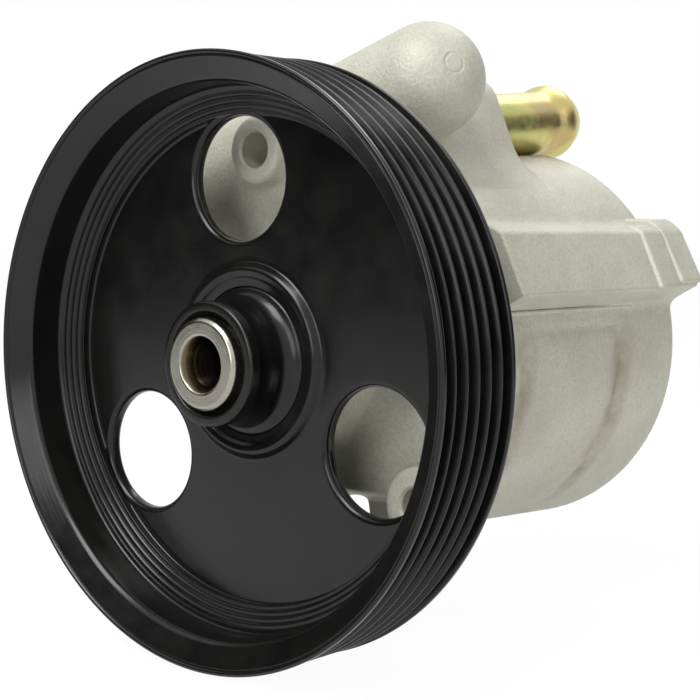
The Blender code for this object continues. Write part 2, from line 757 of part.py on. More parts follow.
def lug_outline(proud):
    """The lug's section: tilted outer face, underside facet and level top, running into the body."""
    normal = Vector((math.cos(LUG_TILT), math.sin(LUG_TILT)))
    along = Vector((-math.sin(LUG_TILT), math.cos(LUG_TILT)))
    low = normal * (LUG_FACE_DISTANCE + proud) - along * (LUG_LOW + proud)
    high = normal * (LUG_FACE_DISTANCE + proud) + along * LUG_HIGH
    root_x = LUG_FACE_DISTANCE - LUG_ROOT_DEPTH
    top_z = high.y + LUG_TOP_RISE
    return [
        (root_x, low.y - LUG_UNDERSIDE_DROP),
        (low.x - LUG_UNDERSIDE_WIDTH, low.y - LUG_UNDERSIDE_DROP),
        (low.x, low.y),
        (high.x, high.y),
        (high.x - LUG_TOP_WIDTH, top_z),
        (root_x, top_z),
    ]


def body_outline():
    """Outer outline of the pump body, from the seal nose to the rounded rear edge."""
    slope = (BODY_REAR_RADIUS - BODY_FRONT_RADIUS) / (BODY_REAR - BODY_FRONT)
    turn_y = BODY_REAR - BODY_ROUND
    turn_radius = BODY_FRONT_RADIUS + slope * (turn_y - BODY_FRONT)
    rear_round = arc((turn_radius - BODY_ROUND, turn_y), BODY_ROUND, 0, 90, 3)
    nose_back = NOSE_FRONT + NOSE_LENGTH
    return [
        (0, NOSE_FRONT),
        (NOSE_RADIUS - FRONT_ROUND / 3, NOSE_FRONT),
        (NOSE_RADIUS, NOSE_FRONT + FRONT_ROUND / 3),
        (NOSE_RADIUS, nose_back),
        (CONE_RADIUS, BODY_FRONT - FRONT_ROUND),
        (BODY_FRONT_RADIUS - FRONT_ROUND, BODY_FRONT - FRONT_ROUND / 2),
        (BODY_FRONT_RADIUS, BODY_FRONT + FRONT_ROUND),
        *rear_round,
        (0, BODY_REAR),
    ]


def make_cavity(rows):
    """The housing's bores: seal pocket, bushing bore, cartridge bore, ring groove and mouth."""
    seal_floor = NOSE_FRONT + SEAL_WIDTH + SEAT_GAP
    bushing_floor = seal_floor + BUSHING_LENGTH + 2 * SEAT_GAP
    bore = CARTRIDGE_RADIUS + SEAT_GAP
    groove_front, groove_back = rows["retaining_ring"]
    outline = [
        (0, NOSE_FRONT - CUT_OVER),
        (SEAL_RADIUS + SEAT_GAP, NOSE_FRONT - CUT_OVER),
        (SEAL_RADIUS + SEAT_GAP, seal_floor),
        (BUSHING_RADIUS + SEAT_GAP, seal_floor),
        (BUSHING_RADIUS + SEAT_GAP, bushing_floor),
        (SHAFT_RADIUS + 2 * SEAT_GAP, bushing_floor),
        (SHAFT_RADIUS + 2 * SEAT_GAP, BORE_FLOOR),
        (bore, BORE_FLOOR),
        (bore, groove_front - SEAT_GAP),
        (CARTRIDGE_RADIUS + RING_GROOVE_DEPTH, groove_front - SEAT_GAP),
        (CARTRIDGE_RADIUS + RING_GROOVE_DEPTH, groove_back + SEAT_GAP),
        (bore, groove_back + SEAT_GAP),
        (bore, BODY_REAR - MOUTH_CHAMFER),
        (bore + MOUTH_CHAMFER, BODY_REAR),
        (bore + MOUTH_CHAMFER, BODY_REAR + CUT_OVER),
        (0, BODY_REAR + CUT_OVER),
    ]
    return turned("cavity", outline, None, CARTRIDGE_FACETS)


def make_flange():
    """Front flange: a plate that carries the three bolt bosses and runs into the seal nose."""
    (_, tx, tz, tr), (_, rx, rz, rr), (_, lx, lz, lr) = BOLT_BOSSES
    outline = arc((tx, tz), tr - FLANGE_INSET, 20, 160, 3)
    outline += arc((lx, lz), lr - FLANGE_INSET, 170, 330, 4)
    outline += [(FLANGE_CORNER_X, FLANGE_UNDERSIDE), (rx - rr, FLANGE_UNDERSIDE)]
    outline += arc((rx, rz), rr - FLANGE_INSET, 270, 400, 4)
    return plate("flange", [outline], FLANGE_FRONT, FLANGE_BACK)


def make_neck():
    """Inlet neck: a drafted block with a round top, from the valve boss to the tube's socket."""
    top_z = BODY_FRONT_RADIUS + NECK_RISE
    shoulder_z = BODY_FRONT_RADIUS + NECK_SHOULDER
    foot_z = BODY_FRONT_RADIUS - NECK_FOOT_DROP
    outline = arc((INLET_X, top_z), NECK_TOP_RADIUS, 28, 152, 5) + [
        (INLET_X - NECK_HALF_WIDTH, shoulder_z),
        (INLET_X - NECK_FOOT_HALF_WIDTH, foot_z),
        (INLET_X + NECK_FOOT_HALF_WIDTH, foot_z),
        (INLET_X + NECK_HALF_WIDTH, shoulder_z),
    ]
    return plate("neck", [outline], VALVE_Y, NECK_BACK)


def make_relief():
    """A wedge taken off the underside of the body, behind the flange."""
    work = bmesh.new()
    bmesh.ops.create_cube(work, size=1)
    size = (2 * RELIEF_HALF_WIDTH, RELIEF_LENGTH, RELIEF_DEPTH)
    bmesh.ops.scale(work, vec=size, verts=work.verts)
    bmesh.ops.translate(work, vec=(0, 0, -RELIEF_DEPTH / 2), verts=work.verts)
    mesh = bpy.data.meshes.new("relief")
    work.to_mesh(mesh)
    work.free()
    relief = add_object("relief", mesh, None)
    relief.location = (RELIEF_CENTRE_X, BODY_FRONT, RELIEF_TOP)
    relief.rotation_euler[0] = -RELIEF_SLOPE
    return relief


def make_housing(rows):
    """One aluminium casting: body, flange, bolt bosses, valve boss, inlet neck and lug, then bored."""
    housing = turned("housing", body_outline(), "cast_aluminium", BODY_FACETS)
    cut(housing, make_relief())
    join(housing, make_flange())
    for name, x, z, radius in BOLT_BOSSES:
        line = (x, 0, z), (x, BOSS_LENGTH, z)
        join(housing, cylinder(f"{name}_boss", *line, radius, radius * BOSS_DRAFT, BOSS_FACETS))

    dome = [
        (DOME_RADIUS * math.cos(a), DOME_STATION + DOME_RADIUS * math.sin(a))
        for a in (math.radians(degrees) for degrees in (0, 30, 60))
    ]
    boss_outline = [
        (0, OUTLET_STATION),
        (OUTLET_RADIUS - EDGE_ROUND, OUTLET_STATION),
        (OUTLET_RADIUS, OUTLET_STATION + EDGE_ROUND),
        *dome,
        (0, DOME_STATION + DOME_RADIUS),
    ]
    join(housing, valve_turned("valve_boss", boss_outline, None, HUB_FACETS), make_neck())

    for i, (front, back) in enumerate(zip(LUG_STATIONS, LUG_STATIONS[1:])):
        reach = front if i == 0 else front - LUG_STEP_OVERLAP
        join(housing, plate(f"lug_{i + 1}", [lug_outline(i * LUG_STEP)], reach, back))

    cut(housing, make_cavity(rows))
    for name, x, z, _ in BOLT_BOSSES:
        line = (x, -CUT_OVER, z), (x, BOLT_HOLE_DEPTH, z)
        cut(housing, cylinder(f"{name}_bolt_hole", *line, BOLT_HOLE_RADIUS))

    thread = UNION_THREAD_RADIUS + SEAT_GAP
    thread_end = OUTLET_STATION + UNION_DEPTH + SEAT_GAP
    bore_outline = [
        (0, OUTLET_STATION - CUT_OVER),
        (thread, OUTLET_STATION - CUT_OVER),
        (thread, thread_end),
        (VALVE_BORE_RADIUS, thread_end),
        (VALVE_BORE_RADIUS, VALVE_BORE_END),
        (0, VALVE_BORE_END),
    ]
    cut(housing, valve_turned("valve_bore", bore_outline))

    socket_floor = -TUBE_SOCKET_DEPTH - SEAT_GAP
    suction_end = VALVE_Y + VALVE_BORE_RADIUS / 2 - NECK_BACK
    socket = [
        (0, CUT_OVER),
        (TUBE_RADIUS + SEAT_GAP, CUT_OVER),
        (TUBE_RADIUS + SEAT_GAP, socket_floor),
        (SUCTION_RADIUS, socket_floor),
        (SUCTION_RADIUS, suction_end),
        (0, suction_end),
    ]
    cut(housing, inlet_turned("inlet_socket", socket))
    start = (INLET_X, SUCTION_Y, INLET_Z - SUCTION_RADIUS / 2)
    end = (INLET_X, SUCTION_Y, CARTRIDGE_RADIUS - CUT_OVER)
    cut(housing, cylinder("suction_passage", start, end, SUCTION_RADIUS - SEAT_GAP))


def inlet_turned(name, outline, finish=None):
    """Revolves an outline about the inlet tube's axis, with station 0 in the neck's rear face."""
    return turned(name, outline, finish, TUBE_FACETS, (INLET_X, NECK_BACK, INLET_Z), INLET_AXIS)


def make_inlet_tube():
    """Plated steel tube with a rounded hose bead, pressed into the neck."""
    bead_back = TUBE_REACH - BEAD_SETBACK
    bead_front = bead_back - BEAD_LENGTH
    outline = [(TUBE_BORE_RADIUS, -TUBE_SOCKET_DEPTH), (TUBE_RADIUS, -TUBE_SOCKET_DEPTH)]
    for share, rise in ((0, 0), (0.25, 0.4), (0.45, 0.95), (0.65, 1), (0.85, 0.6), (1, 0)):
        outline.append((TUBE_RADIUS + rise * BEAD_HEIGHT, bead_front + share * BEAD_LENGTH))
    outline += [(TUBE_RADIUS - TUBE_WALL / 3, TUBE_REACH), (TUBE_BORE_RADIUS, TUBE_REACH)]
    inlet_turned("inlet_tube", outline, "yellow_zinc")


def make_valve():
    """Outlet union, sliding spool and its spring in the valve bore."""
    inner = OUTLET_STATION + UNION_DEPTH
    outer = OUTLET_STATION - UNION_HEX_LENGTH - SEAT_GAP
    shoulder = OUTLET_STATION - SEAT_GAP
    groove = OUTLET_STATION + UNION_ORING_SETBACK
    groove_end = groove + 2 * ORING_SECTION + 2 * SEAT_GAP
    groove_radius = UNION_THREAD_RADIUS - ORING_GROOVE_DEPTH
    shank = [
        (UNION_BORE_RADIUS, inner),
        (UNION_THREAD_RADIUS - EDGE_ROUND, inner),
        (UNION_THREAD_RADIUS, inner - EDGE_ROUND),
        (UNION_THREAD_RADIUS, groove_end),
        (groove_radius, groove_end),
        (groove_radius, groove),
        (UNION_THREAD_RADIUS, groove),
        (UNION_THREAD_RADIUS, outer - EDGE_ROUND),
        (UNION_SEAT_RADIUS, outer - EDGE_ROUND),
        (UNION_SEAT_RADIUS, outer + UNION_SEAT_DEPTH),
        (UNION_BORE_RADIUS, outer + UNION_SEAT_DEPTH + UNION_BORE_RADIUS / 2),
    ]
    union = valve_turned("outlet_union", shank, "yellow_zinc")
    hexagon = valve_turned(
        "union_hexagon",
        [
            (UNION_THREAD_RADIUS - CUT_OVER, shoulder),
            (UNION_HEX, shoulder),
            (UNION_HEX, outer + UNION_HEX_CHAMFER / 2),
            (UNION_HEX - UNION_HEX_CHAMFER, outer),
            (UNION_THREAD_RADIUS - CUT_OVER, outer),
        ],
        None,
        6,
    )
    join(union, hexagon)
    middle = (groove + groove_end) / 2
    line = {"point": on_valve_axis(0), "axis": VALVE_AXIS}
    oring("outlet_union_oring", UNION_THREAD_RADIUS, middle, VALVE_FACETS, **line)

    start = inner + SEAT_GAP
    end = start + SPOOL_LENGTH
    land = VALVE_BORE_RADIUS - VALVE_GAP
    waist = SPOOL_WAIST_RADIUS
    pocket = end - SPOOL_POCKET_DEPTH
    outline = [
        (0, start),
        (waist, start),
        (land, start + EDGE_ROUND),
        (land, start + SPOOL_FRONT_LAND),
        (waist, start + SPOOL_FRONT_LAND + EDGE_ROUND),
        (waist, end - SPOOL_REAR_LAND - EDGE_ROUND),
        (land, end - SPOOL_REAR_LAND),
        (land, end - EDGE_ROUND / 2),
        (land - EDGE_ROUND / 2, end),
        (SPOOL_POCKET_RADIUS, end),
        (SPOOL_POCKET_RADIUS, pocket),
        (0, pocket),
    ]
    valve_turned("valve_spool", outline, "ground_steel")
    spring_start = pocket + SPOOL_TRAVEL + SEAT_GAP
    coil(
        "valve_spring",
        "hard_steel",
        SPOOL_POCKET_RADIUS - SEAT_GAP - VALVE_SPRING_WIRE,
        VALVE_SPRING_WIRE,
        VALVE_BORE_END - SEAT_GAP - spring_start,
        VALVE_SPRING_TURNS,
        on_valve_axis(spring_start),
        VALVE_AXIS,
    )


def group_rotating_pieces():
    """The turning pieces hang from an empty on the shaft axis, and the spool from one on its own."""
    turning = ["pulley", "pulley_hub", "drive_shaft", "rotor_clip", "rotor"]
    turning += [f"vane_{i + 1:02d}" for i in range(VANES)]
    bpy.context.view_layer.update()
    for name, point, pieces in (
        ("shaft_axis", Vector((0, 0, 0)), turning),
        ("valve_axis", on_valve_axis(0), ["valve_spool"]),
    ):
        empty = bpy.data.objects.new(name, None)
        empty.empty_display_size = EMPTY_SIZE
        PARTS.objects.link(empty)
        empty.location = point
        bpy.context.view_layer.update()
        for piece in pieces:
            obj = bpy.data.objects[piece]
            obj.parent = empty
            obj.matrix_parent_inverse = empty.matrix_world.inverted()


clear_scene()
PARTS = new_collection("power_steering_pump")
CUTTERS = new_collection("cutters")
ROWS = stations()
make_pulley()
make_hub()
make_shaft(ROWS)
make_housing(ROWS)
make_seal_and_bushing()
make_cartridge(ROWS)
make_end_cover(ROWS)
make_inlet_tube()
make_valve()
group_rotating_pieces()
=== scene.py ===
"""Looks of the power steering pump: fine surfaces, finishes, light and camera."""

import json
import math

import bmesh
import bpy
import numpy as np
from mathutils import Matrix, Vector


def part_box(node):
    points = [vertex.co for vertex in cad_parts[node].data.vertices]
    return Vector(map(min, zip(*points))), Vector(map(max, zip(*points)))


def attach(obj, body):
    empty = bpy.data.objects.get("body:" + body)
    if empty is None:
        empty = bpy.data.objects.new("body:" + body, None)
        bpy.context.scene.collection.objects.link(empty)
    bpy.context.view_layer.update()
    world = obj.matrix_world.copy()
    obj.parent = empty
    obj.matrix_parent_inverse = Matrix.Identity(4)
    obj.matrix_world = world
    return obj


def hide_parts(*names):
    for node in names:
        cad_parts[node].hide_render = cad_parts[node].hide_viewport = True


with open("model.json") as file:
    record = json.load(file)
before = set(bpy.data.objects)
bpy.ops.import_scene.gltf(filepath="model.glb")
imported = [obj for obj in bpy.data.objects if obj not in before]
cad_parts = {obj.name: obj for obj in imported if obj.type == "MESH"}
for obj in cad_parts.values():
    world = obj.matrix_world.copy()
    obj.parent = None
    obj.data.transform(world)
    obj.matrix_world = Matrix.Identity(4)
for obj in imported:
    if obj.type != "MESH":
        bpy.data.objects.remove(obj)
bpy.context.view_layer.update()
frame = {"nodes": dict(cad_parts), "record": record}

import openvdb
from mathutils import Vector

# Metres throughout. Camera, worked out from the photograph's circles
CAMERA_PLACE = (0.22037, -0.23956, 0.02572)
CAMERA_TURN = (math.radians(85.719), 0, math.radians(40.592))
CAMERA_LENS = 77.317

# Pulley, hub and shaft, as in the solids. Stations run from the pulley's front, rearwards
SHAFT_AXIS = Vector((0, 1, 0))
PULLEY_FRONT = -0.031
PULLEY_RADIUS = 0.063
PULLEY_WIDTH = 0.0228
GROOVES = 6
GROOVE_PITCH = 0.00356
FIRST_GROOVE = 0.0025
WEB_FRONT = 0.016
WEB_REAR = 0.0195
WEB_EDGE_RADIUS = 0.0513
WEB_HOLE_RADIUS = 0.0130
WEB_HOLE_CIRCLE_RADIUS = 0.0382
WEB_HOLE_ANGLE = 94.6
WEB_HOLE_ROUND = 0.0014
RIM_INNER_RADIUS = 0.0554
DISH_RADIUS = 0.0568
HUB_RADIUS = 0.0156
HUB_REAR = 0.0248
SHAFT_RADIUS = 0.009525
SHAFT_SEAT_RADIUS = 0.0082
SHAFT_CLIP_RADIUS = 0.0074
SHAFT_CLIP_GROOVE = (0.0552, 0.0570)
SHAFT_BORE_RADIUS = 0.0053

# Housing, as in the solids. Stations are places on the shaft's axis
NOSE_FRONT = -0.005
NOSE_RADIUS = 0.020
BODY_FRONT = 0.014
BODY_REAR = 0.0885
BODY_FRONT_RADIUS = 0.042
BODY_REAR_RADIUS = 0.0453
BORE_FLOOR = 0.0287
CARTRIDGE_RADIUS = 0.033
SEAT_GAP = 0.0003
FLANGE_FRONT = 0.005
FLANGE_BACK = 0.018
FLANGE_UNDERSIDE = -0.0295
TOP_BOSS = (-0.0130, 0.0450, 0.0075)
RIGHT_BOSS = (0.0328, -0.0293, 0.0084)
LEFT_BOSS = (-0.0222, -0.0385, 0.0080)
BOSS_BACK = 0.019
BOSS_DRAFT = 1.08
BOLT_HOLE_RADIUS = 0.0040
RELIEF_TOP = -0.0313
RELIEF_SLOPE = math.radians(12.65)
RELIEF_CENTRE_X = -0.006
RELIEF_HALF_WIDTH = 0.0155
VALVE_TILT = math.radians(21)
VALVE_AXIS = Vector((math.cos(VALVE_TILT), 0, math.sin(VALVE_TILT)))
VALVE_Y = 0.021
VALVE_HEIGHT = 0.0488
VALVE_MOUTH = -0.0225
VALVE_BOSS_END = 0.0395
INLET_X = 0.004
INLET_Z = 0.052
INLET_TILT = math.radians(5.5)
INLET_AXIS = Vector((0, math.cos(INLET_TILT), math.sin(INLET_TILT)))
NECK_TOP_Z = 0.0545
NECK_BACK = 0.057
TUBE_RADIUS = 0.0079
TUBE_BORE_RADIUS = 0.0065
TUBE_REACH = 0.0387
SOCKET_DEPTH = 0.016
LUG_TILT = math.radians(24)
LUG_REACH = 0.051
LUG_STEP = 0.0008
LUG_END = (
    (0.030, 0.0108), (0.0427, 0.0108), (0.0507, 0.01545), (0.0449, 0.0272), (0.0434, 0.0286),
    (0.0412, 0.0301), (0.030, 0.0303),
)

# Only in this scene
FRONT_GROOVE_Y = 0.0255
REAR_GROOVE_Y = 0.0620
RIGHT_BOSS_BACK = 0.0125
SEAM_PLACE = (0.0432, 0.0099)
SEAM_RADIUS = 0.0005
LUG_BEVEL = 0.0007
LUG_FILLET_SHRINK = 0.0003
PIN_MARK = (0.0305, 0.0157, 0.0622)
# Near-black painted shade deep inside the shaft's threaded bore, and the rust colour at the bore's
# mouth
BORE_PAINTED_SHADE = (0.006, 0.005, 0.004)
RUSTY = (0.15, 0.12, 0.07)
# The shaft bore's radius, mouth and depth, where its rust colour gives way to painted shade
SHAFT_BORE_RUST_AND_SHADE = (0.0057, PULLEY_FRONT + 0.0028, 0.0028)
VOXEL = 0.00078
FIELD_LOW = (-0.056, -0.008, -0.052)
FIELD_HIGH = (0.060, 0.092, 0.076)
ROUND_LARGE = 128
ROUND_MEDIUM = 96
ROUND_SMALL = 64


# Meshes

def finished(name, mesh, material, body, replaced=(), angle=30):
    """Links a piece, gives it its material and body, and lets it stand for its solids."""
    mesh.shade_smooth()
    mesh.set_sharp_from_angle(angle=math.radians(angle))
    mesh.materials.clear()
    mesh.materials.append(material)
    piece = bpy.data.objects.new(name, mesh)
    bpy.context.scene.collection.objects.link(piece)
    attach(piece, body)
    if replaced:
        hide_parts(*replaced)
    flat = piece.modifiers.new("flat_faces", "WEIGHTED_NORMAL")
    flat.keep_sharp = True
    return piece


def axis_frame(axis):
    """The rotation that lays a revolve's own axis along this one."""
    return Vector((0, 0, 1)).rotation_difference(axis).to_matrix()


def revolve(name, outline, facets, point=(0, 0, 0), axis=SHAFT_AXIS):
    """A mesh turned from a closed outline of (radius, station) points, in the part's frame."""
    area = sum(
        r0 * s1 - r1 * s0 for (r0, s0), (r1, s1) in zip(outline, outline[1:] + outline[:1])
    )
    if area > 0:
        outline = outline[::-1]
    turn = axis_frame(axis)
    point = Vector(point)
    points, rings = [], []
    for radius, station in outline:
        steps = facets if radius > 1e-9 else 1
        rings.append(range(len(points), len(points) + steps))
        for i in range(steps):
            angle = math.tau * i / facets
            local = Vector((radius * math.cos(angle), radius * math.sin(angle), station))
            points.append(point + turn @ local)
    faces = []
    for ring, following in zip(rings, rings[1:] + rings[:1]):
        if len(ring) == 1 and len(following) == 1:
            continue
        for i in range(facets):
            j = (i + 1) % facets
            corners = [ring[i % len(ring)], following[i % len(following)]]
            corners += [following[j % len(following)], ring[j % len(ring)]]
            faces.append(list(dict.fromkeys(corners)))
    mesh = bpy.data.meshes.new(name)
    mesh.from_pydata([tuple(p) for p in points], [], faces)
    orient(mesh)
    return mesh


def orient(mesh):
    """Turns the faces outwards."""
    work = bmesh.new()
    work.from_mesh(mesh)
    if work.calc_volume(signed=True) < 0:
        bmesh.ops.reverse_faces(work, faces=work.faces)
    work.to_mesh(mesh)
    work.free()


def rounded(corners, steps=4):
    """A closed outline with each (radius, station, round) corner rounded."""
    count = len(corners)
    outline = []
    for i, (x, y, size) in enumerate(corners):
        here = Vector((x, y))
        before = Vector(corners[i - 1][:2]) - here
        after = Vector(corners[(i + 1) % count][:2]) - here
        if size == 0 or x < 1e-9:
            outline.append((x, y))
            continue
        reach = min(size, 0.49 * before.length, 0.49 * after.length)
        start = here + before.normalized() * reach
        end = here + after.normalized() * reach
        for k in range(steps + 1):
            t = k / steps
            point = start * (1 - t) ** 2 + here * 2 * t * (1 - t) + end * t ** 2
            outline.append((point.x, point.y))
    return outline


def boolean(mesh, others, operation="DIFFERENCE"):
    """The mesh after each of the others is taken from it or joined to it."""
    scene = bpy.context.scene.collection
    base = bpy.data.objects.new("base", mesh)
    scene.objects.link(base)
    tools = []
    for i, other in enumerate(others):
        tool = bpy.data.objects.new(f"tool_{i}", other)
        scene.objects.link(tool)
        tools.append(tool)
        modifier = base.modifiers.new(f"tool_{i}", "BOOLEAN")
        modifier.operation = operation
        modifier.solver = "MANIFOLD"
        modifier.object = tool
    bpy.context.view_layer.update()
    graph = bpy.context.evaluated_depsgraph_get()
    result = bpy.data.meshes.new_from_object(base.evaluated_get(graph))
    for obj in [base] + tools:
        bpy.data.objects.remove(obj, do_unlink=True)
    return result


def on_valve_axis(station):
    """The place on the valve bore's axis at this distance from the shaft's plane."""
    across = Vector((-math.sin(VALVE_TILT), 0, math.cos(VALVE_TILT)))
    return VALVE_AXIS * station + across * VALVE_HEIGHT + Vector((0, VALVE_Y, 0))


def arc(centre, radius, start, end, steps):
    """Points of a circle's arc, with its start and end in degrees."""
    turn = math.radians(end - start)
    first = math.radians(start)
    return [
        (
            centre[0] + radius * math.cos(first + turn * i / steps),
            centre[1] + radius * math.sin(first + turn * i / steps),
        )
        for i in range(steps + 1)
    ]


# Materials

class Nodes:
    """A material's node tree, with short calls for the nodes used here."""

    def __init__(self, name):
        self.material = bpy.data.materials.new(name)
        self.material.use_nodes = True
        self.tree = self.material.node_tree
        self.shader = self.tree.nodes["Principled BSDF"]
        self.place = self.add("ShaderNodeTexCoord").outputs["Object"]

    def add(self, kind, **values):
        node = self.tree.nodes.new(kind)
        for key, value in values.items():
            setattr(node, key, value)
        return node

    def link(self, source, target):
        self.tree.links.new(source, target)

    def set(self, **values):
        for key, value in values.items():
            self.shader.inputs[key.replace("_", " ")].default_value = value

    def noise(self, scale, detail=4, roughness=0.55, where=None, distortion=0):
        node = self.add("ShaderNodeTexNoise")
        node.inputs["Scale"].default_value = scale
        node.inputs["Detail"].default_value = detail
        node.inputs["Roughness"].default_value = roughness
        node.inputs["Distortion"].default_value = distortion
        self.link(where or self.place, node.inputs["Vector"])
        return node.outputs["Fac"]

    def math(self, operation, *inputs, clamp=False):
        node = self.add("ShaderNodeMath", operation=operation, use_clamp=clamp)
        for socket, value in zip(node.inputs, inputs):
            if isinstance(value, (int, float)):
                socket.default_value = value
            else:
                self.link(value, socket)
        return node.outputs[0]

    def ramp(self, source, stops):
        node = self.add("ShaderNodeValToRGB")
        elements = node.color_ramp.elements
        while len(elements) < len(stops):
            elements.new(0.5)
        for element, (place, colour) in zip(elements, stops):
            element.position = place
            element.color = (*colour, 1)
        self.link(source, node.inputs["Fac"])
        return node.outputs["Color"]

    def spread(self, source, low, high, start=0.0, end=1.0):
        node = self.add("ShaderNodeMapRange")
        self.link(source, node.inputs["Value"])
        node.inputs["From Min"].default_value = start
        node.inputs["From Max"].default_value = end
        node.inputs["To Min"].default_value = low
        node.inputs["To Max"].default_value = high
        return node.outputs["Result"]

    def mix(self, factor, first, second, blend="MIX"):
        node = self.add("ShaderNodeMix", data_type="RGBA", blend_type=blend)
        sockets = (node.inputs[0], node.inputs[6], node.inputs[7])
        for socket, value in zip(sockets, (factor, first, second)):
            if isinstance(value, (int, float)):
                socket.default_value = value
            elif isinstance(value, tuple):
                socket.default_value = (*value, 1)
            else:
                self.link(value, socket)
        return node.outputs[2]

    def bump(self, height, strength, distance, after=None):
        node = self.add("ShaderNodeBump")
        node.inputs["Strength"].default_value = strength
        node.inputs["Distance"].default_value = distance
        self.link(height, node.inputs["Height"])
        if after:
            self.link(after, node.inputs["Normal"])
        return node.outputs["Normal"]

    def radius(self):
        """Distance from the shaft axis and place along it."""
        split = self.add("ShaderNodeSeparateXYZ")
        self.link(self.place, split.inputs[0])
        x, y, z = split.outputs
        square = self.math("ADD", self.math("MULTIPLY", x, x), self.math("MULTIPLY", z, z))
        return self.math("SQRT", square), y


def cast_aluminium():
    n = Nodes("cast_aluminium")
    n.set(Metallic=0.1, Roughness=0.5)
    patches = n.noise(55, 3, 0.6)
    grain = n.noise(1500, 3, 0.6)
    colour = n.ramp(patches, [(0.3, (0.56, 0.55, 0.45)), (0.7, (0.66, 0.655, 0.56))])
    speck = n.ramp(grain, [(0.3, (0.72, 0.71, 0.67)), (0.6, (1, 1, 1))])
    colour = n.mix(0.6, colour, speck, "MULTIPLY")
    stain = n.math("MULTIPLY", groove_mask(n), n.spread(n.noise(140, 3), 0.2, 1.0, 0.35, 0.6))
    colour = n.mix(stain, colour, (0.30, 0.26, 0.17))
    n.link(colour, n.shader.inputs["Base Color"])
    n.link(n.spread(grain, 0.42, 0.60, 0.3, 0.7), n.shader.inputs["Roughness"])
    fine = n.bump(grain, 0.4, 0.0004)
    coarse = n.bump(n.noise(260, 2, 0.5), 0.3, 0.0008, fine)
    n.link(n.bump(pin_mark(n), 0.7, 0.0003, coarse), n.shader.inputs["Normal"])
    return n.material


def pin_mark(n):
    """A shallow round mark of the mould's ejector pin on the dome of the valve boss."""
    away = n.add("ShaderNodeVectorMath", operation="DISTANCE")
    n.link(n.place, away.inputs[0])
    away.inputs[1].default_value = PIN_MARK
    off = n.math("ABSOLUTE", n.math("SUBTRACT", away.outputs["Value"], 0.0021))
    ring = n.spread(off, 0.0, 1.0, 0.0, 0.0005)
    dent = n.spread(away.outputs["Value"], 0.4, 1.0, 0.0012, 0.0024)
    return n.math("MULTIPLY", ring, dent)


def groove_mask(n):
    """Where stains gather: in the two moulded grooves of the body's side."""
    split = n.add("ShaderNodeSeparateXYZ")
    n.link(n.place, split.inputs[0])
    x, y, z = split.outputs
    total = 0
    for place, reach in ((FRONT_GROOVE_Y, 0.0050), (REAR_GROOVE_Y, 0.0055)):
        away = n.math("ABSOLUTE", n.math("SUBTRACT", y, place))
        total = n.math("ADD", total, n.spread(away, 1.0, 0.0, 0.0, reach))
    below = n.spread(z, 1.0, 0.0, 0.002, 0.008)
    side = n.math("MULTIPLY", n.spread(x, 0.0, 1.0, 0.020, 0.034), below)
    return n.math("MULTIPLY", n.math("MULTIPLY", total, side), 0.9, clamp=True)


def black_paint():
    n = Nodes("black_paint")
    n.set(Roughness=0.2, Metallic=0.0, Specular_IOR_Level=0.36)
    radius, y = n.radius()
    rings = n.add("ShaderNodeCombineXYZ")
    n.link(radius, rings.inputs[0])
    n.link(y, rings.inputs[1])
    lines = n.noise(900, 3, 0.7, rings.outputs[0])
    dust = n.noise(90, 4, 0.6)
    colour = n.ramp(dust, [(0.35, (0.0045, 0.0044, 0.0042)), (0.75, (0.0085, 0.0083, 0.0076))])
    n.link(colour, n.shader.inputs["Base Color"])
    n.link(n.spread(dust, 0.16, 0.27, 0.3, 0.7), n.shader.inputs["Roughness"])
    n.link(n.bump(lines, 0.06, 0.0003), n.shader.inputs["Normal"])
    return n.material


def turned_steel(name, colour, roughness, strength=0.25, bore=None):
    """Turned metal with fine lines; a bore (radius, mouth, depth) is rust-coloured at its mouth and
    darkens inwards with painted shade.
    """
    n = Nodes(name)
    n.set(Metallic=1.0)
    radius, y = n.radius()
    rings = n.add("ShaderNodeCombineXYZ")
    n.link(radius, rings.inputs[0])
    n.link(y, rings.inputs[1])
    lines = n.noise(2600, 2, 0.8, rings.outputs[0])
    blot = n.noise(160, 4, 0.6)
    low = tuple(0.72 * part for part in colour)
    metal = n.ramp(blot, [(0.3, low), (0.7, colour)])
    if bore:
        size, mouth, depth = bore
        # Painted shade: the bore's wall goes from rust colour at the mouth to near black deeper in
        rust_then_shade = n.mix(n.spread(y, 0.0, 1.0, mouth, mouth + depth), RUSTY, BORE_PAINTED_SHADE)
        metal = n.mix(n.spread(radius, 1.0, 0.0, size, size + 0.0003), metal, rust_then_shade)
    n.link(metal, n.shader.inputs["Base Color"])
    n.link(n.spread(blot, roughness * 0.8, roughness * 1.3, 0.3, 0.7), n.shader.inputs["Roughness"])
    n.link(n.bump(lines, strength, 0.0002), n.shader.inputs["Normal"])
    return n.material


def yellow_zinc():
    n = Nodes("yellow_zinc")
    n.set(Metallic=1.0)
    film = n.noise(60, 3, 0.55, distortion=0.5)
    stops = [
        (0.28, (0.44, 0.46, 0.17)),
        (0.44, (0.54, 0.53, 0.19)),
        (0.55, (0.62, 0.54, 0.20)),
        (0.64, (0.54, 0.40, 0.18)),
        (0.72, (0.46, 0.48, 0.22)),
    ]
    n.link(n.ramp(film, stops), n.shader.inputs["Base Color"])
    n.link(n.spread(n.noise(400), 0.27, 0.42, 0.3, 0.7), n.shader.inputs["Roughness"])
    n.link(n.bump(n.noise(900, 2), 0.12, 0.0002), n.shader.inputs["Normal"])
    return n.material


def bronze():
    n = Nodes("bronze")
    n.set(Metallic=1.0)
    colour = n.ramp(n.noise(200), [(0.3, (0.42, 0.27, 0.13)), (0.7, (0.60, 0.40, 0.21))])
    n.link(colour, n.shader.inputs["Base Color"])
    n.link(n.spread(n.noise(500), 0.3, 0.45, 0.3, 0.7), n.shader.inputs["Roughness"])
    return n.material


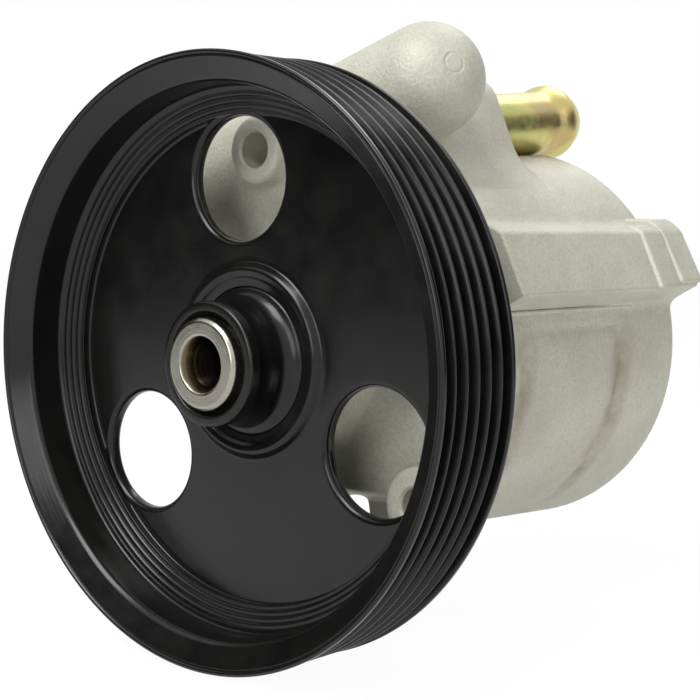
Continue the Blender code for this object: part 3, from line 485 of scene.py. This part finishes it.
def seal_rubber():
    n = Nodes("seal_rubber")
    colour = n.ramp(n.noise(300), [(0.3, (0.012, 0.012, 0.013)), (0.7, (0.028, 0.028, 0.03))])
    n.link(colour, n.shader.inputs["Base Color"])
    n.link(n.spread(n.noise(600), 0.5, 0.68, 0.3, 0.7), n.shader.inputs["Roughness"])
    n.link(n.bump(n.noise(2500, 2), 0.1, 0.0002), n.shader.inputs["Normal"])
    return n.material


# Pulley, hub and shaft

def groove_corners():
    """The six belt grooves between the two flanges, front to rear."""
    crest = 0.0002
    floor = 0.0006
    depth = 0.0026
    ridge_drop = 0.00025
    round_size = 0.00035
    flange_round = 0.0003
    half = GROOVE_PITCH / 2 - crest
    ridge = PULLEY_RADIUS - ridge_drop
    deep = ridge - depth
    corners = []
    for i in range(GROOVES):
        middle = FIRST_GROOVE + i * GROOVE_PITCH
        first = i == 0
        last = i == GROOVES - 1
        front = PULLEY_RADIUS if first else ridge
        rear = PULLEY_RADIUS if last else ridge
        start = middle - half + (flange_round if first else 0)
        end = middle + half - (flange_round if last else 0)
        corners.append((front, start, flange_round if first else round_size))
        corners.append((deep, middle - floor, round_size))
        corners.append((deep, middle + floor, round_size))
        corners.append((rear, end, flange_round if last else round_size))
    return corners


def make_pulley(paint):
    """Rim, fine rings, web and hub seat as one turned form, with the three web holes."""
    seat_radius = HUB_RADIUS + 0.0001
    ring_count = 4
    ring_start = 0.0557
    ring_top = 0.0119
    ring_pitch = 0.0012
    ring_drop = 0.0007
    folded_lip = [
        (0.0616, 0.00045, 0.0003),
        (0.06185, 0.0007, 0.0001),
        (0.06205, 0.0003, 0.0002),
        (0.0624, 0.0, 0.0005),
        (PULLEY_RADIUS, 0.0002, 0.0007),
    ]
    rear_side = [
        (PULLEY_RADIUS, PULLEY_WIDTH, 0.0006),
        (RIM_INNER_RADIUS, PULLEY_WIDTH, 0.0006),
        (RIM_INNER_RADIUS, WEB_REAR, 0.0015),
        (seat_radius, WEB_REAR, 0.0),
    ]
    seat_and_web = [
        (seat_radius, 0.0155, 0.0),
        (0.0172, 0.0153, 0.0004),
        (0.0178, 0.0147, 0.0004),
        (0.0194, 0.0143, 0.0008),
        (0.0207, 0.0159, 0.0008),
        (0.0214, WEB_FRONT, 0.0004),
        (WEB_EDGE_RADIUS, WEB_FRONT, 0.0006),
        (WEB_EDGE_RADIUS + 0.0003, 0.0147, 0.0006),
    ]
    fine_rings = []
    for i in reversed(range(ring_count)):
        radius = ring_start - i * ring_pitch
        level = ring_top + i * ring_drop
        fine_rings.append((radius - ring_pitch * 0.75, level + ring_drop * 0.15, 0.00025))
        fine_rings.append((radius - ring_pitch * 0.05, level, 0.00025))
        fine_rings.append((radius, level - ring_drop * 0.25, 0.00015))
    dish_wall = [
        (DISH_RADIUS, 0.0112, 0.0008),
        (DISH_RADIUS, 0.0039, 0.0006),
        (DISH_RADIUS + 0.0006, 0.0031, 0.0005),
    ]
    corners = folded_lip + groove_corners() + rear_side + seat_and_web + fine_rings + dish_wall
    mesh = revolve("pulley_rim", rounded(corners), 2 * ROUND_LARGE, (0, PULLEY_FRONT, 0))
    cutters = []
    for i in range(3):
        angle = math.radians(WEB_HOLE_ANGLE + 120 * i)
        x = WEB_HOLE_CIRCLE_RADIUS * math.cos(angle)
        z = WEB_HOLE_CIRCLE_RADIUS * math.sin(angle)
        cutters.append(revolve(f"web_hole_{i}", hole_outline(), ROUND_MEDIUM, (x, PULLEY_FRONT, z)))
    mesh = boolean(mesh, cutters)
    return finished("pulley_rim", mesh, paint, "rotating_group", ["pulley"], 24)


def hole_outline():
    """A cutter with flared ends, which leaves the hole's edges rounded."""
    over = 0.0006
    centre = WEB_HOLE_RADIUS + WEB_HOLE_ROUND
    wide = centre + 0.0001
    front = arc((centre, WEB_FRONT + WEB_HOLE_ROUND), WEB_HOLE_ROUND, 270, 180, 6)
    rear = arc((centre, WEB_REAR - WEB_HOLE_ROUND), WEB_HOLE_ROUND, 180, 90, 6)
    outline = [(0, WEB_FRONT - over), (wide, WEB_FRONT - over), (wide, WEB_FRONT)]
    outline += front + rear
    return outline + [(wide, WEB_REAR), (wide, WEB_REAR + over), (0, WEB_REAR + over)]


def make_hub(paint):
    """Turned hub: rounded front edge, puller groove, and the shank behind its flare."""
    bore = SHAFT_RADIUS + 0.00005
    corners = [
        (bore, 0.0054, 0.0),
        (0.0101, 0.0050, 0.0002),
        (0.0106, 0.0040, 0.0003),
        (0.0110, 0.0036, 0.0002),
        (0.0123, 0.0036, 0.0005),
        (0.0129, 0.0040, 0.0004),
        (0.0129, 0.0064, 0.0003),
        (0.0117, 0.0070, 0.0005),
        (0.0116, 0.0098, 0.0012),
        (0.0124, 0.0130, 0.0018),
        (0.0138, 0.0148, 0.0010),
        (0.0155, 0.0154, 0.0005),
        (HUB_RADIUS, 0.0165, 0.0003),
        (HUB_RADIUS, HUB_REAR - 0.0007, 0.0006),
        (HUB_RADIUS - 0.0007, HUB_REAR, 0.0004),
        (bore, HUB_REAR, 0.0),
    ]
    mesh = revolve("hub_turned", rounded(corners, 5), ROUND_LARGE, (0, PULLEY_FRONT, 0))
    return finished("hub_turned", mesh, paint, "rotating_group", ["pulley_hub"], 24)


def make_shaft(steel):
    """Ground shaft with a chamfered, threaded front bore."""
    front = PULLEY_FRONT + 0.0019
    floor = front + 0.018
    thread_pitch = 0.0012
    thread_depth = 0.0005
    mouth = 0.0016
    chamfer = 0.0004
    groove_front, groove_back = SHAFT_CLIP_GROOVE
    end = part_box("drive_shaft")[1][1]
    corners = [(0, floor + 0.0024, 0), (SHAFT_BORE_RADIUS - thread_depth, floor, 0)]
    for i in range(int((floor - front - mouth) / thread_pitch)):
        start = floor - thread_pitch * i
        corners.append((SHAFT_BORE_RADIUS, start - thread_pitch * 0.25, 0))
        corners.append((SHAFT_BORE_RADIUS - thread_depth, start - thread_pitch * 0.75, 0))
    corners += [
        (SHAFT_BORE_RADIUS, front + 0.0012, 0),
        (SHAFT_BORE_RADIUS + 0.0007, front, 0.0003),
        (0.0088, front, 0.0003),
        (SHAFT_RADIUS, front + 0.0007, 0.0003),
        (SHAFT_RADIUS, BORE_FLOOR - 0.0004, 0),
        (SHAFT_SEAT_RADIUS, BORE_FLOOR - 0.00005, 0),
        (SHAFT_SEAT_RADIUS, groove_front, 0),
        (SHAFT_CLIP_RADIUS, groove_front, 0),
        (SHAFT_CLIP_RADIUS, groove_back, 0),
        (SHAFT_SEAT_RADIUS, groove_back, 0),
        (SHAFT_SEAT_RADIUS, end - chamfer, 0),
        (SHAFT_SEAT_RADIUS - chamfer, end, 0),
        (0, end, 0),
    ]
    mesh = revolve("shaft_ground", rounded(corners, 3), ROUND_MEDIUM)
    return finished("shaft_ground", mesh, steel, "rotating_group", ["drive_shaft"], 24)


# Housing: distance fields joined with fillets, then bored

def polygon_distance(u, v, outline):
    """Signed distance from points (u, v) to a closed outline, negative inside."""
    square = np.full(u.shape, np.inf, np.float32)
    inside = np.zeros(u.shape, bool)
    for (ax, ay), (bx, by) in zip(outline, outline[1:] + outline[:1]):
        ex, ey = bx - ax, by - ay
        wx, wy = u - ax, v - ay
        along = np.clip((wx * ex + wy * ey) / (ex * ex + ey * ey + 1e-18), 0, 1)
        square = np.minimum(square, (wx - ex * along) ** 2 + (wy - ey * along) ** 2)
        crosses = (ay > v) != (by > v)
        if ay != by:
            inside ^= crosses & (u < ex * (v - ay) / ey + ax)
    return np.where(inside, -1, 1) * np.sqrt(square)


def blend_union(a, b, size):
    """Two distances joined, with a fillet of about this size."""
    share = np.clip(0.5 + 0.5 * (b - a) / size, 0, 1)
    return b * (1 - share) + a * share - size * share * (1 - share)


def blend_cut(a, b, size):
    """The second taken from the first, with a rounded edge."""
    return -blend_union(-a, b, size)


class Field:
    """The housing's grid of points, with the shapes that it is joined from."""

    def __init__(self):
        low, high = np.array(FIELD_LOW), np.array(FIELD_HIGH)
        counts = np.ceil((high - low) / VOXEL).astype(int)
        steps = [low[i] + VOXEL * np.arange(counts[i]) for i in range(3)]
        self.low = low
        self.x, self.y, self.z = (
            part.astype(np.float32) for part in np.meshgrid(*steps, indexing="ij")
        )

    def turned(self, outline, point=(0, 0, 0), axis=(0, 1, 0), flatten=0.0):
        """A form turned from an outline; flatten lets its upper half reach farther up."""
        px, py, pz = self.x - point[0], self.y - point[1], self.z - point[2]
        pz = np.where(pz > 0, pz * (1 - flatten), pz)
        station = px * axis[0] + py * axis[1] + pz * axis[2]
        across = np.sqrt(np.maximum(px * px + py * py + pz * pz - station * station, 0))
        return polygon_distance(across, station, outline)

    def plate(self, outline, front, back, round_size=0.001):
        """A flat shape across the shaft axis, with its edges rounded."""
        flat = polygon_distance(self.x, self.z, outline) + round_size
        thick = np.abs(self.y - (front + back) / 2) - (back - front) / 2 + round_size
        outside = np.hypot(np.maximum(flat, 0), np.maximum(thick, 0))
        return np.minimum(np.maximum(flat, thick), 0) + outside - round_size

    def mesh(self, name, distance):
        """The surface where the distance is zero."""
        grid = openvdb.FloatGrid(1.0)
        grid.copyFromArray(np.ascontiguousarray(distance, np.float32))
        points, quads = grid.convertToQuads()
        points = np.asarray(points) * VOXEL + self.low
        mesh = bpy.data.meshes.new(name)
        mesh.from_pydata(points.tolist(), [], np.asarray(quads).tolist())
        orient(mesh)
        return mesh


def body_outline():
    """Half section of nose and body, with the rear edge rounded."""
    edge = 0.006
    slope = (BODY_REAR_RADIUS - BODY_FRONT_RADIUS) / (BODY_REAR - BODY_FRONT)
    turn_y = BODY_REAR - edge
    turn_radius = BODY_FRONT_RADIUS + slope * (turn_y - BODY_FRONT)
    return [
        (-0.01, NOSE_FRONT),
        (NOSE_RADIUS - 0.0008, NOSE_FRONT),
        (NOSE_RADIUS, NOSE_FRONT + 0.001),
        (NOSE_RADIUS, 0.003),
        (0.030, 0.011),
        (BODY_FRONT_RADIUS - 0.003, 0.0125),
        (BODY_FRONT_RADIUS - 0.0008, 0.0138),
        (BODY_FRONT_RADIUS, 0.017),
        *arc((turn_radius - edge, turn_y), edge, 0, 90, 8),
        (-0.01, BODY_REAR),
    ]


def lug_outline(proud, shrink=0.0):
    """The lug's section; the shrunken one lies just inside it and carries the fillets."""
    root = 0.030
    below, above = 0.0075, 0.0067
    underside = Vector((0.0069, 0.0037))
    normal = Vector((math.cos(LUG_TILT), math.sin(LUG_TILT)))
    along = Vector((-math.sin(LUG_TILT), math.cos(LUG_TILT)))
    reach = LUG_REACH + proud - shrink
    rise = underside.dot(along) / underside.dot(normal)
    inner = normal * LUG_REACH - along * below - underside
    inner.y += shrink
    low = normal * reach - along * (below - rise * proud - shrink)
    high = normal * reach + along * (above - shrink)
    top = high.y + 0.0015
    return [
        (root, inner.y),
        (inner.x, inner.y),
        (low.x, low.y),
        (high.x, high.y),
        (high.x - 0.003, top),
        (root, top),
    ]


def lug_steps():
    """For each of the lug's three steps: section, how proud it stands, front and back."""
    return (
        (lug_outline(0), 0, BODY_FRONT, 0.0700),
        (lug_outline(LUG_STEP), LUG_STEP, 0.0695, 0.0790),
        (list(LUG_END), LUG_STEP, 0.0785, BODY_REAR - 0.0003),
    )


def prism(outline, front, back, bevel):
    """A bar along the shaft axis with this section and its edges bevelled."""
    work = bmesh.new()
    ends = []
    for y in (front, back):
        ends.append([work.verts.new((x, y, z)) for x, z in outline])
    count = len(outline)
    work.faces.new(ends[0])
    work.faces.new(ends[1][::-1])
    for i in range(count):
        j = (i + 1) % count
        work.faces.new((ends[0][j], ends[0][i], ends[1][i], ends[1][j]))
    bmesh.ops.recalc_face_normals(work, faces=work.faces)
    bmesh.ops.bevel(
        work, geom=work.edges[:], offset=bevel, segments=3, profile=0.5, affect="EDGES",
        clamp_overlap=True,
    )
    mesh = bpy.data.meshes.new("prism")
    work.to_mesh(mesh)
    work.free()
    orient(mesh)
    return mesh


def smooth(value, start, end):
    """Rises smoothly from 0 at start to 1 at end."""
    t = np.clip((value - start) / (end - start), 0, 1)
    return t * t * (3 - 2 * t)


def furrow(value, middle, width):
    """1 along the middle, fading to 0 on both sides."""
    return np.exp(-(((value - middle) / width) ** 2))


def side_grooves(field):
    """Two shallow moulded grooves on the side of the body, joined along their top by a third."""
    angle = np.degrees(np.arctan2(field.z, field.x))
    window = smooth(angle, -62, -48) * (1 - smooth(angle, 4, 9))
    corner = 0.003
    between = smooth(field.y, FRONT_GROOVE_Y, FRONT_GROOVE_Y + corner)
    between = between * (1 - smooth(field.y, REAR_GROOVE_Y - corner, REAR_GROOVE_Y))
    top = furrow(angle, 7.5, 1.5) * between * (field.x > 0)
    front = furrow(field.y, FRONT_GROOVE_Y, 0.0018) * window
    rear = furrow(field.y, REAR_GROOVE_Y, 0.0020) * window
    return 0.00080 * front + 0.00085 * rear + 0.0005 * top


def add_flange(field, shape):
    """The front flange and its three bolt bosses; the right one is short behind the pulley."""
    edge = 0.0015
    top_x, top_z, top_radius = TOP_BOSS
    left_x, left_z, left_radius = LEFT_BOSS
    right_x, right_z, right_radius = RIGHT_BOSS
    flange = arc((top_x, top_z), top_radius - 0.0004, 20, 160, 6)
    flange += arc((left_x, left_z), left_radius - 0.0004, 170, 330, 8)
    flange += [(0.004, FLANGE_UNDERSIDE), (0.0244, FLANGE_UNDERSIDE)]
    front = flange + arc((right_x, right_z), right_radius - 0.0004, 270, 400, 8)
    behind = flange + arc((right_x, right_z), right_radius - 0.0028, 270, 400, 8)
    shape = blend_union(shape, field.plate(front, FLANGE_FRONT, 0.013, edge), 0.003)
    shape = blend_union(shape, field.plate(behind, 0.009, FLANGE_BACK, edge), 0.003)
    bosses = (
        (TOP_BOSS, BOSS_BACK, BOSS_DRAFT),
        (RIGHT_BOSS, RIGHT_BOSS_BACK, 1.0),
        (LEFT_BOSS, BOSS_BACK, BOSS_DRAFT),
    )
    for (x, z, radius), back, draft in bosses:
        boss = [(-0.01, 0), (radius - 0.0008, 0), (radius, 0.0008)]
        boss += [(radius * draft, back), (-0.01, back)]
        shape = blend_union(shape, field.turned(boss, (x, 0, z)), 0.0025)
    return shape


def add_neck(field, shape):
    """The inlet neck: a round top on flanks that widen towards the body."""
    neck = arc((INLET_X, NECK_TOP_Z), 0.010, 28, 152, 10)
    neck += [(INLET_X - 0.0130, 0.0475), (INLET_X - 0.0165, 0.038)]
    neck += [(INLET_X + 0.0172, 0.038), (INLET_X + 0.0136, 0.0475)]
    return blend_union(shape, field.plate(neck, VALVE_Y, NECK_BACK, 0.0012), 0.005)


def add_valve_boss(field, shape):
    """The cross boss for the valve, flat at its mouth and domed at its other end."""
    radius = 0.01245
    mouth_radius = 0.0154
    boss = [(-0.01, VALVE_MOUTH), (mouth_radius - 0.0007, VALVE_MOUTH)]
    boss += [(mouth_radius, VALVE_MOUTH + 0.0007)]
    boss += arc((0, VALVE_BOSS_END), radius, 0, 90, 16)
    boss += [(-0.01, VALVE_BOSS_END + radius)]
    return blend_union(shape, field.turned(boss, on_valve_axis(0), VALVE_AXIS), 0.005)


def add_lug_fillets(field, shape):
    """The lug shrunk a little; its sharp form is joined later, and the fillets stay."""
    lug = None
    for _, proud, front, back in lug_steps():
        section = lug_outline(proud, LUG_FILLET_SHRINK)
        step = field.plate(section, front + LUG_FILLET_SHRINK, back - LUG_FILLET_SHRINK, 0.0008)
        lug = step if lug is None else np.minimum(lug, step)
    return blend_union(shape, lug, 0.0022)


def make_housing(metal):
    field = Field()
    shape = field.turned(body_outline(), flatten=0.05)
    shape = shape + side_grooves(field)
    slope = (field.z - RELIEF_TOP) * math.cos(RELIEF_SLOPE)
    slope = slope + (field.y - BODY_FRONT) * math.sin(RELIEF_SLOPE)
    relief = np.maximum(slope, np.abs(field.x - RELIEF_CENTRE_X) - RELIEF_HALF_WIDTH)
    shape = blend_cut(shape, relief, 0.002)
    shape = add_flange(field, shape)
    shape = add_neck(field, shape)
    shape = add_valve_boss(field, shape)
    shape = add_lug_fillets(field, shape)

    clear, wide = 0.0083, 0.0098
    run_out = [(-0.01, 0), (clear, 0), (clear, 0.0262), (wide, 0.031)]
    run_out += [(wide, 0.045), (-0.01, 0.045)]
    tube_start = (INLET_X, NECK_BACK, INLET_Z)
    shape = blend_cut(shape, field.turned(run_out, tube_start, INLET_AXIS), 0.001)

    mesh = field.mesh("housing_cast", shape)
    joined = [prism(section, front, back, LUG_BEVEL) for section, _, front, back in lug_steps()]
    joined.append(prism(arc(SEAM_PLACE, SEAM_RADIUS, 0, 315, 7), 0.0180, 0.0855, 0.0001))
    mesh = boolean(mesh, joined, "UNION")
    mesh = boolean(mesh, housing_cutters())
    return finished("housing_cast", mesh, metal, "pump_body", ["housing"], 38)


def housing_cutters():
    """Stepped cartridge bore, bolt holes, valve bore and the tube's socket with its passage."""
    over = 0.002
    bore = CARTRIDGE_RADIUS + SEAT_GAP
    groove = CARTRIDGE_RADIUS + 0.0023
    ring_low, ring_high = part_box("end_cover_ring")
    groove_front = ring_low[1] - SEAT_GAP
    groove_back = ring_high[1] + SEAT_GAP
    seal_bore, seal_floor = 0.0153, 0.0023
    bushing_bore, bushing_floor = 0.0123, 0.0209
    shaft_bore = 0.0101
    chamfer = 0.0014
    cavity = [
        (0, NOSE_FRONT - over),
        (seal_bore, NOSE_FRONT - over),
        (seal_bore, seal_floor),
        (bushing_bore, seal_floor),
        (bushing_bore, bushing_floor),
        (shaft_bore, bushing_floor),
        (shaft_bore, BORE_FLOOR),
        (bore, BORE_FLOOR),
        (bore, groove_front),
        (groove, groove_front),
        (groove, groove_back),
        (bore, groove_back),
        (bore, BODY_REAR - chamfer),
        (bore + chamfer, BODY_REAR),
        (bore + chamfer, BODY_REAR + over),
        (0, BODY_REAR + over),
    ]
    cutters = [revolve("cavity", cavity, ROUND_LARGE)]

    mouth = BOLT_HOLE_RADIUS + 0.0005
    hole = [(0, -over), (mouth, -over), (mouth, 0), (BOLT_HOLE_RADIUS, 0.0005)]
    hole += [(BOLT_HOLE_RADIUS, 0.0105), (0, 0.0125)]
    for x, z, _ in (TOP_BOSS, RIGHT_BOSS, LEFT_BOSS):
        cutters.append(revolve("bolt_hole", hole, 48, (x, 0, z)))

    seat, spool = 0.0098, 0.008
    seat_floor, blind_end = -0.0062, 0.042
    valve = [(0, VALVE_MOUTH - over), (seat, VALVE_MOUTH - over), (seat, seat_floor)]
    valve += [(spool, seat_floor), (spool, blind_end), (0, blind_end)]
    cutters.append(revolve("valve_bore", valve, ROUND_SMALL, on_valve_axis(0), VALVE_AXIS))

    wall = TUBE_RADIUS + 0.0001
    flare = wall + 0.0004
    floor = -SOCKET_DEPTH - SEAT_GAP
    passage, passage_end = 0.0045, -0.032
    socket = [(0, over), (flare, over), (flare, 0), (wall, -0.0005), (wall, floor)]
    socket += [(passage, floor), (passage, passage_end), (0, passage_end)]
    tube_start = (INLET_X, NECK_BACK, INLET_Z)
    cutters.append(revolve("socket", socket, ROUND_SMALL, tube_start, INLET_AXIS))
    return cutters


# Fittings

def make_tube(zinc):
    """Plated tube with a rolled bead near its end; stations run from the neck's rear face."""
    outline = [(TUBE_BORE_RADIUS, -SOCKET_DEPTH), (TUBE_RADIUS, -SOCKET_DEPTH)]
    outline += [(TUBE_RADIUS, 0.0262), (0.00795, 0.0272), (0.0082, 0.0284), (0.0088, 0.0298)]
    outline += [(0.0093, 0.0314), (0.0094, 0.0326), (0.00935, 0.0338), (0.0090, 0.0350)]
    outline += [(0.0084, 0.0362), (0.0079, 0.0372), (0.0076, 0.0380)]
    outline += [(0.0074, TUBE_REACH - 0.0003), (0.0071, TUBE_REACH), (0.0068, TUBE_REACH)]
    outline += [(TUBE_BORE_RADIUS, TUBE_REACH - 0.0004)]
    tube_start = (INLET_X, NECK_BACK, INLET_Z)
    mesh = revolve("tube_plated", outline, ROUND_MEDIUM, tube_start, INLET_AXIS)
    return finished("tube_plated", mesh, zinc, "pump_body", ["inlet_tube"], 40)


def make_union(zinc):
    """Outlet union: chamfered hexagon, threaded shank end and cone seat."""
    head = 0.0098
    outer = VALVE_MOUTH - head
    inner = VALVE_MOUTH + 0.016
    shank_radius, ring_groove, bore, throat = 0.0095, 0.0068, 0.0060, 0.003
    thread_pitch, thread_depth = 0.0012, 0.00045
    core = [(throat, inner), (shank_radius - 0.0007, inner), (shank_radius, inner - 0.0007)]
    core += [(shank_radius, VALVE_MOUTH + 0.0054), (ring_groove, VALVE_MOUTH + 0.0054)]
    core += [(ring_groove, VALVE_MOUTH + 0.0024), (shank_radius, VALVE_MOUTH + 0.0024)]
    core += [(shank_radius, VALVE_MOUTH - 0.0002), (0.0085, VALVE_MOUTH - 0.0002)]
    core += [(0.0085, outer + 0.0004), (0.0082, outer), (0.0068, outer), (bore, outer + 0.0006)]
    station = outer + 0.0010
    while station < outer + 0.012:
        core += [(bore, station), (bore - thread_depth, station + thread_pitch / 2)]
        station += thread_pitch
    core += [(bore, outer + 0.0131), (throat, outer + 0.0146)]

    corner = 0.0125
    flat = corner * math.cos(math.radians(30))
    hollow, chamfer = 0.0070, 0.0009
    cone = [(hollow, VALVE_MOUTH - 0.0003), (corner - 0.0003, VALVE_MOUTH - 0.0003)]
    cone += [(corner + 0.0003, VALVE_MOUTH - chamfer), (corner + 0.0003, outer + chamfer)]
    cone += [(flat - 0.0002, outer), (hollow, outer)]
    bar = [(0, VALVE_MOUTH + 0.001), (corner, VALVE_MOUTH + 0.001)]
    bar += [(corner, outer - 0.001), (0, outer - 0.001)]
    place = on_valve_axis(0)
    turned = revolve("union_cone", cone, ROUND_MEDIUM, place, VALVE_AXIS)
    mesh = boolean(turned, [revolve("union_bar", bar, 6, place, VALVE_AXIS)], "INTERSECT")
    mesh = boolean(mesh, [revolve("union_core", core, ROUND_MEDIUM, place, VALVE_AXIS)], "UNION")
    return finished("union_plated", mesh, zinc, "pump_body", ["outlet_union"], 30)


def make_cover_ring(steel):
    """Retaining ring of round-edged wire in the groove behind the cover."""
    low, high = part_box("end_cover_ring")
    width = 0.0034
    outer = high[0]
    inner = outer - width
    opening = 13
    steps = 90
    bevel = 0.00025
    section = [(inner, low[1] + bevel), (inner + bevel, low[1]), (outer - bevel, low[1])]
    section += [(outer, low[1] + bevel), (outer, high[1] - bevel), (outer - bevel, high[1])]
    section += [(inner + bevel, high[1]), (inner, high[1] - bevel)]
    points, faces = [], []
    for i in range(steps + 1):
        angle = math.radians(-90 + opening + (360 - 2 * opening) * i / steps)
        points += [(r * math.cos(angle), y, r * math.sin(angle)) for r, y in section]
    count = len(section)
    for i in range(steps):
        for k in range(count):
            a, b = i * count + k, i * count + (k + 1) % count
            faces.append((a, b, b + count, a + count))
    faces.append(tuple(range(count)))
    faces.append(tuple(range(steps * count, (steps + 1) * count))[::-1])
    mesh = bpy.data.meshes.new("ring_sprung")
    mesh.from_pydata(points, [], faces)
    orient(mesh)
    return finished("ring_sprung", mesh, steel, "pump_body", ["end_cover_ring"], 30)


def make_end_cover(steel):
    """Pressed cover with the groove for its seal and a recess with a raised centre."""
    low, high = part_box("end_cover")
    front, back = low[1], high[1]
    groove_front, groove_back, groove_floor = front + 0.003, front + 0.006, 0.0303
    recess = back - 0.0045
    centre = back - 0.0041
    corners = [
        (0, front, 0),
        (CARTRIDGE_RADIUS, front, 0.0004),
        (CARTRIDGE_RADIUS, groove_front, 0),
        (groove_floor, groove_front, 0),
        (groove_floor, groove_back, 0),
        (CARTRIDGE_RADIUS, groove_back, 0),
        (CARTRIDGE_RADIUS, back, 0.0008),
        (0.0232, back, 0.0014),
        (0.0212, recess, 0.0018),
        (0.0060, recess, 0.0006),
        (0.0050, centre, 0.0006),
        (0, centre, 0),
    ]
    mesh = revolve("cover_pressed", rounded(corners, 5), ROUND_LARGE)
    return finished("cover_pressed", mesh, steel, "pump_body", ["end_cover"], 30)


def dress_nodes(finishes):
    """The inner pieces keep their solids and take a full material."""
    for entry in frame["record"]["subparts"]:
        node = frame["nodes"][entry["node"]]
        node.data.materials.clear()
        node.data.materials.append(finishes[entry["material_slot"]])


# Light, floor and camera

def area_light(name, place, target, size, power):
    """A rectangular lamp that points at the target."""
    light = bpy.data.lights.new(name, "AREA")
    light.shape = "RECTANGLE"
    light.size, light.size_y = size
    light.energy = power
    lamp = bpy.data.objects.new(name, light)
    lamp.location = place
    lamp.rotation_euler = (Vector(target) - Vector(place)).to_track_quat("-Z", "Y").to_euler()
    bpy.context.scene.collection.objects.link(lamp)


def seen_white(tree):
    """1 for the camera, glossy and transmission rays, which meet the white background."""
    path = tree.nodes.new("ShaderNodeLightPath")
    total = path.outputs["Is Camera Ray"]
    for kind in ("Is Glossy Ray", "Is Transmission Ray"):
        step = tree.nodes.new("ShaderNodeMath")
        step.operation = "MAXIMUM"
        tree.links.new(total, step.inputs[0])
        tree.links.new(path.outputs[kind], step.inputs[1])
        total = step.outputs[0]
    return total


def make_world(strength):
    """Even light of this strength, seen as white."""
    world = bpy.data.worlds.new("studio")
    bpy.context.scene.world = world
    world.use_nodes = True
    tree = world.node_tree
    back = tree.nodes["Background"]
    level = tree.nodes.new("ShaderNodeMapRange")
    level.inputs["To Min"].default_value = strength
    level.inputs["To Max"].default_value = 1.0
    tree.links.new(seen_white(tree), level.inputs["Value"])
    back.inputs["Color"].default_value = (1, 1, 1, 1)
    tree.links.new(level.outputs["Result"], back.inputs["Strength"])


def make_floor():
    """White paper under the part, which mostly glows for the rays that should see white."""
    size = 6.0
    height = -PULLEY_RADIUS - 0.0005
    mesh = bpy.data.meshes.new("floor")
    corners = [(-size, -size), (size, -size), (size, size), (-size, size)]
    mesh.from_pydata([(x, y, height) for x, y in corners], [], [(0, 1, 2, 3)])
    material = bpy.data.materials.new("floor_paper")
    material.use_nodes = True
    tree = material.node_tree
    shader = tree.nodes["Principled BSDF"]
    shader.inputs["Base Color"].default_value = (0.9, 0.9, 0.9, 1)
    shader.inputs["Roughness"].default_value = 0.9
    glow = tree.nodes.new("ShaderNodeEmission")
    glow.inputs["Strength"].default_value = 1.06
    seen = tree.nodes.new("ShaderNodeMath")
    seen.operation = "MULTIPLY"
    seen.inputs[1].default_value = 0.90
    tree.links.new(seen_white(tree), seen.inputs[0])
    blend = tree.nodes.new("ShaderNodeMixShader")
    tree.links.new(seen.outputs[0], blend.inputs[0])
    tree.links.new(shader.outputs[0], blend.inputs[1])
    tree.links.new(glow.outputs[0], blend.inputs[2])
    tree.links.new(blend.outputs[0], tree.nodes["Material Output"].inputs["Surface"])
    mesh.materials.append(material)
    floor = bpy.data.objects.new("floor", mesh)
    bpy.context.scene.collection.objects.link(floor)


def make_camera():
    data = bpy.data.cameras.new("camera")
    data.lens = CAMERA_LENS
    data.sensor_width = 36
    data.clip_start = 0.01
    camera = bpy.data.objects.new("camera", data)
    camera.location = CAMERA_PLACE
    camera.rotation_euler = CAMERA_TURN
    bpy.context.scene.collection.objects.link(camera)
    bpy.context.scene.camera = camera


def dark_cards(name, radius, start, end, height):
    """A curved black card on the floor, out of sight, that the gloss paint and the metal mirror."""
    steps = 12
    edge = arc((0, 0), radius, start, end, steps)
    low = -PULLEY_RADIUS
    points = [(x, y, z) for x, y in edge for z in (low, low + height)]
    faces = [(2 * i, 2 * i + 1, 2 * i + 3, 2 * i + 2) for i in range(steps)]
    mesh = bpy.data.meshes.new(name)
    mesh.from_pydata(points, [], faces)
    material = bpy.data.materials.new(name)
    material.use_nodes = True
    shader = material.node_tree.nodes["Principled BSDF"]
    shader.inputs["Base Color"].default_value = (0.02, 0.02, 0.02, 1)
    shader.inputs["Roughness"].default_value = 0.9
    mesh.materials.append(material)
    card = bpy.data.objects.new(name, mesh)
    card.visible_camera = False
    bpy.context.scene.collection.objects.link(card)


def make_light():
    """Even world light with four soft lamps, and the two cards round them."""
    make_world(0.25)
    area_light("top", (0.02, -0.56, 0.74), (0, 0, 0), (0.5, 0.5), 6.8)
    area_light("rear", (-0.10, 0.60, 0.70), (0, 0.02, 0), (0.35, 0.35), 1.5)
    area_light("front", (0.24, -0.87, 0.28), (0, 0, 0), (0.5, 0.5), 3.2)
    area_light("side", (0.80, 0.20, 0.25), (0, 0.03, 0), (0.35, 0.5), 0.8)
    dark_cards("card_front", 1.05, 168, 305, 0.8)
    dark_cards("card_rear", 0.80, 22, 68, 0.45)


bpy.context.scene.view_settings.view_transform = "Standard"
make_camera()
make_light()
make_floor()

FINISHES = {
    "cast_aluminium": cast_aluminium(),
    "black_paint": black_paint(),
    "ground_steel": turned_steel("ground_steel", (0.46, 0.44, 0.38), 0.26, bore=SHAFT_BORE_RUST_AND_SHADE),
    "hard_steel": turned_steel("hard_steel", (0.50, 0.50, 0.50), 0.30),
    "yellow_zinc": yellow_zinc(),
    "bronze": bronze(),
    "seal_rubber": seal_rubber(),
}
dress_nodes(FINISHES)
make_pulley(FINISHES["black_paint"])
make_hub(FINISHES["black_paint"])
make_shaft(FINISHES["ground_steel"])
make_housing(FINISHES["cast_aluminium"])
make_tube(FINISHES["yellow_zinc"])
make_union(FINISHES["yellow_zinc"])
make_cover_ring(FINISHES["hard_steel"])
make_end_cover(FINISHES["hard_steel"])
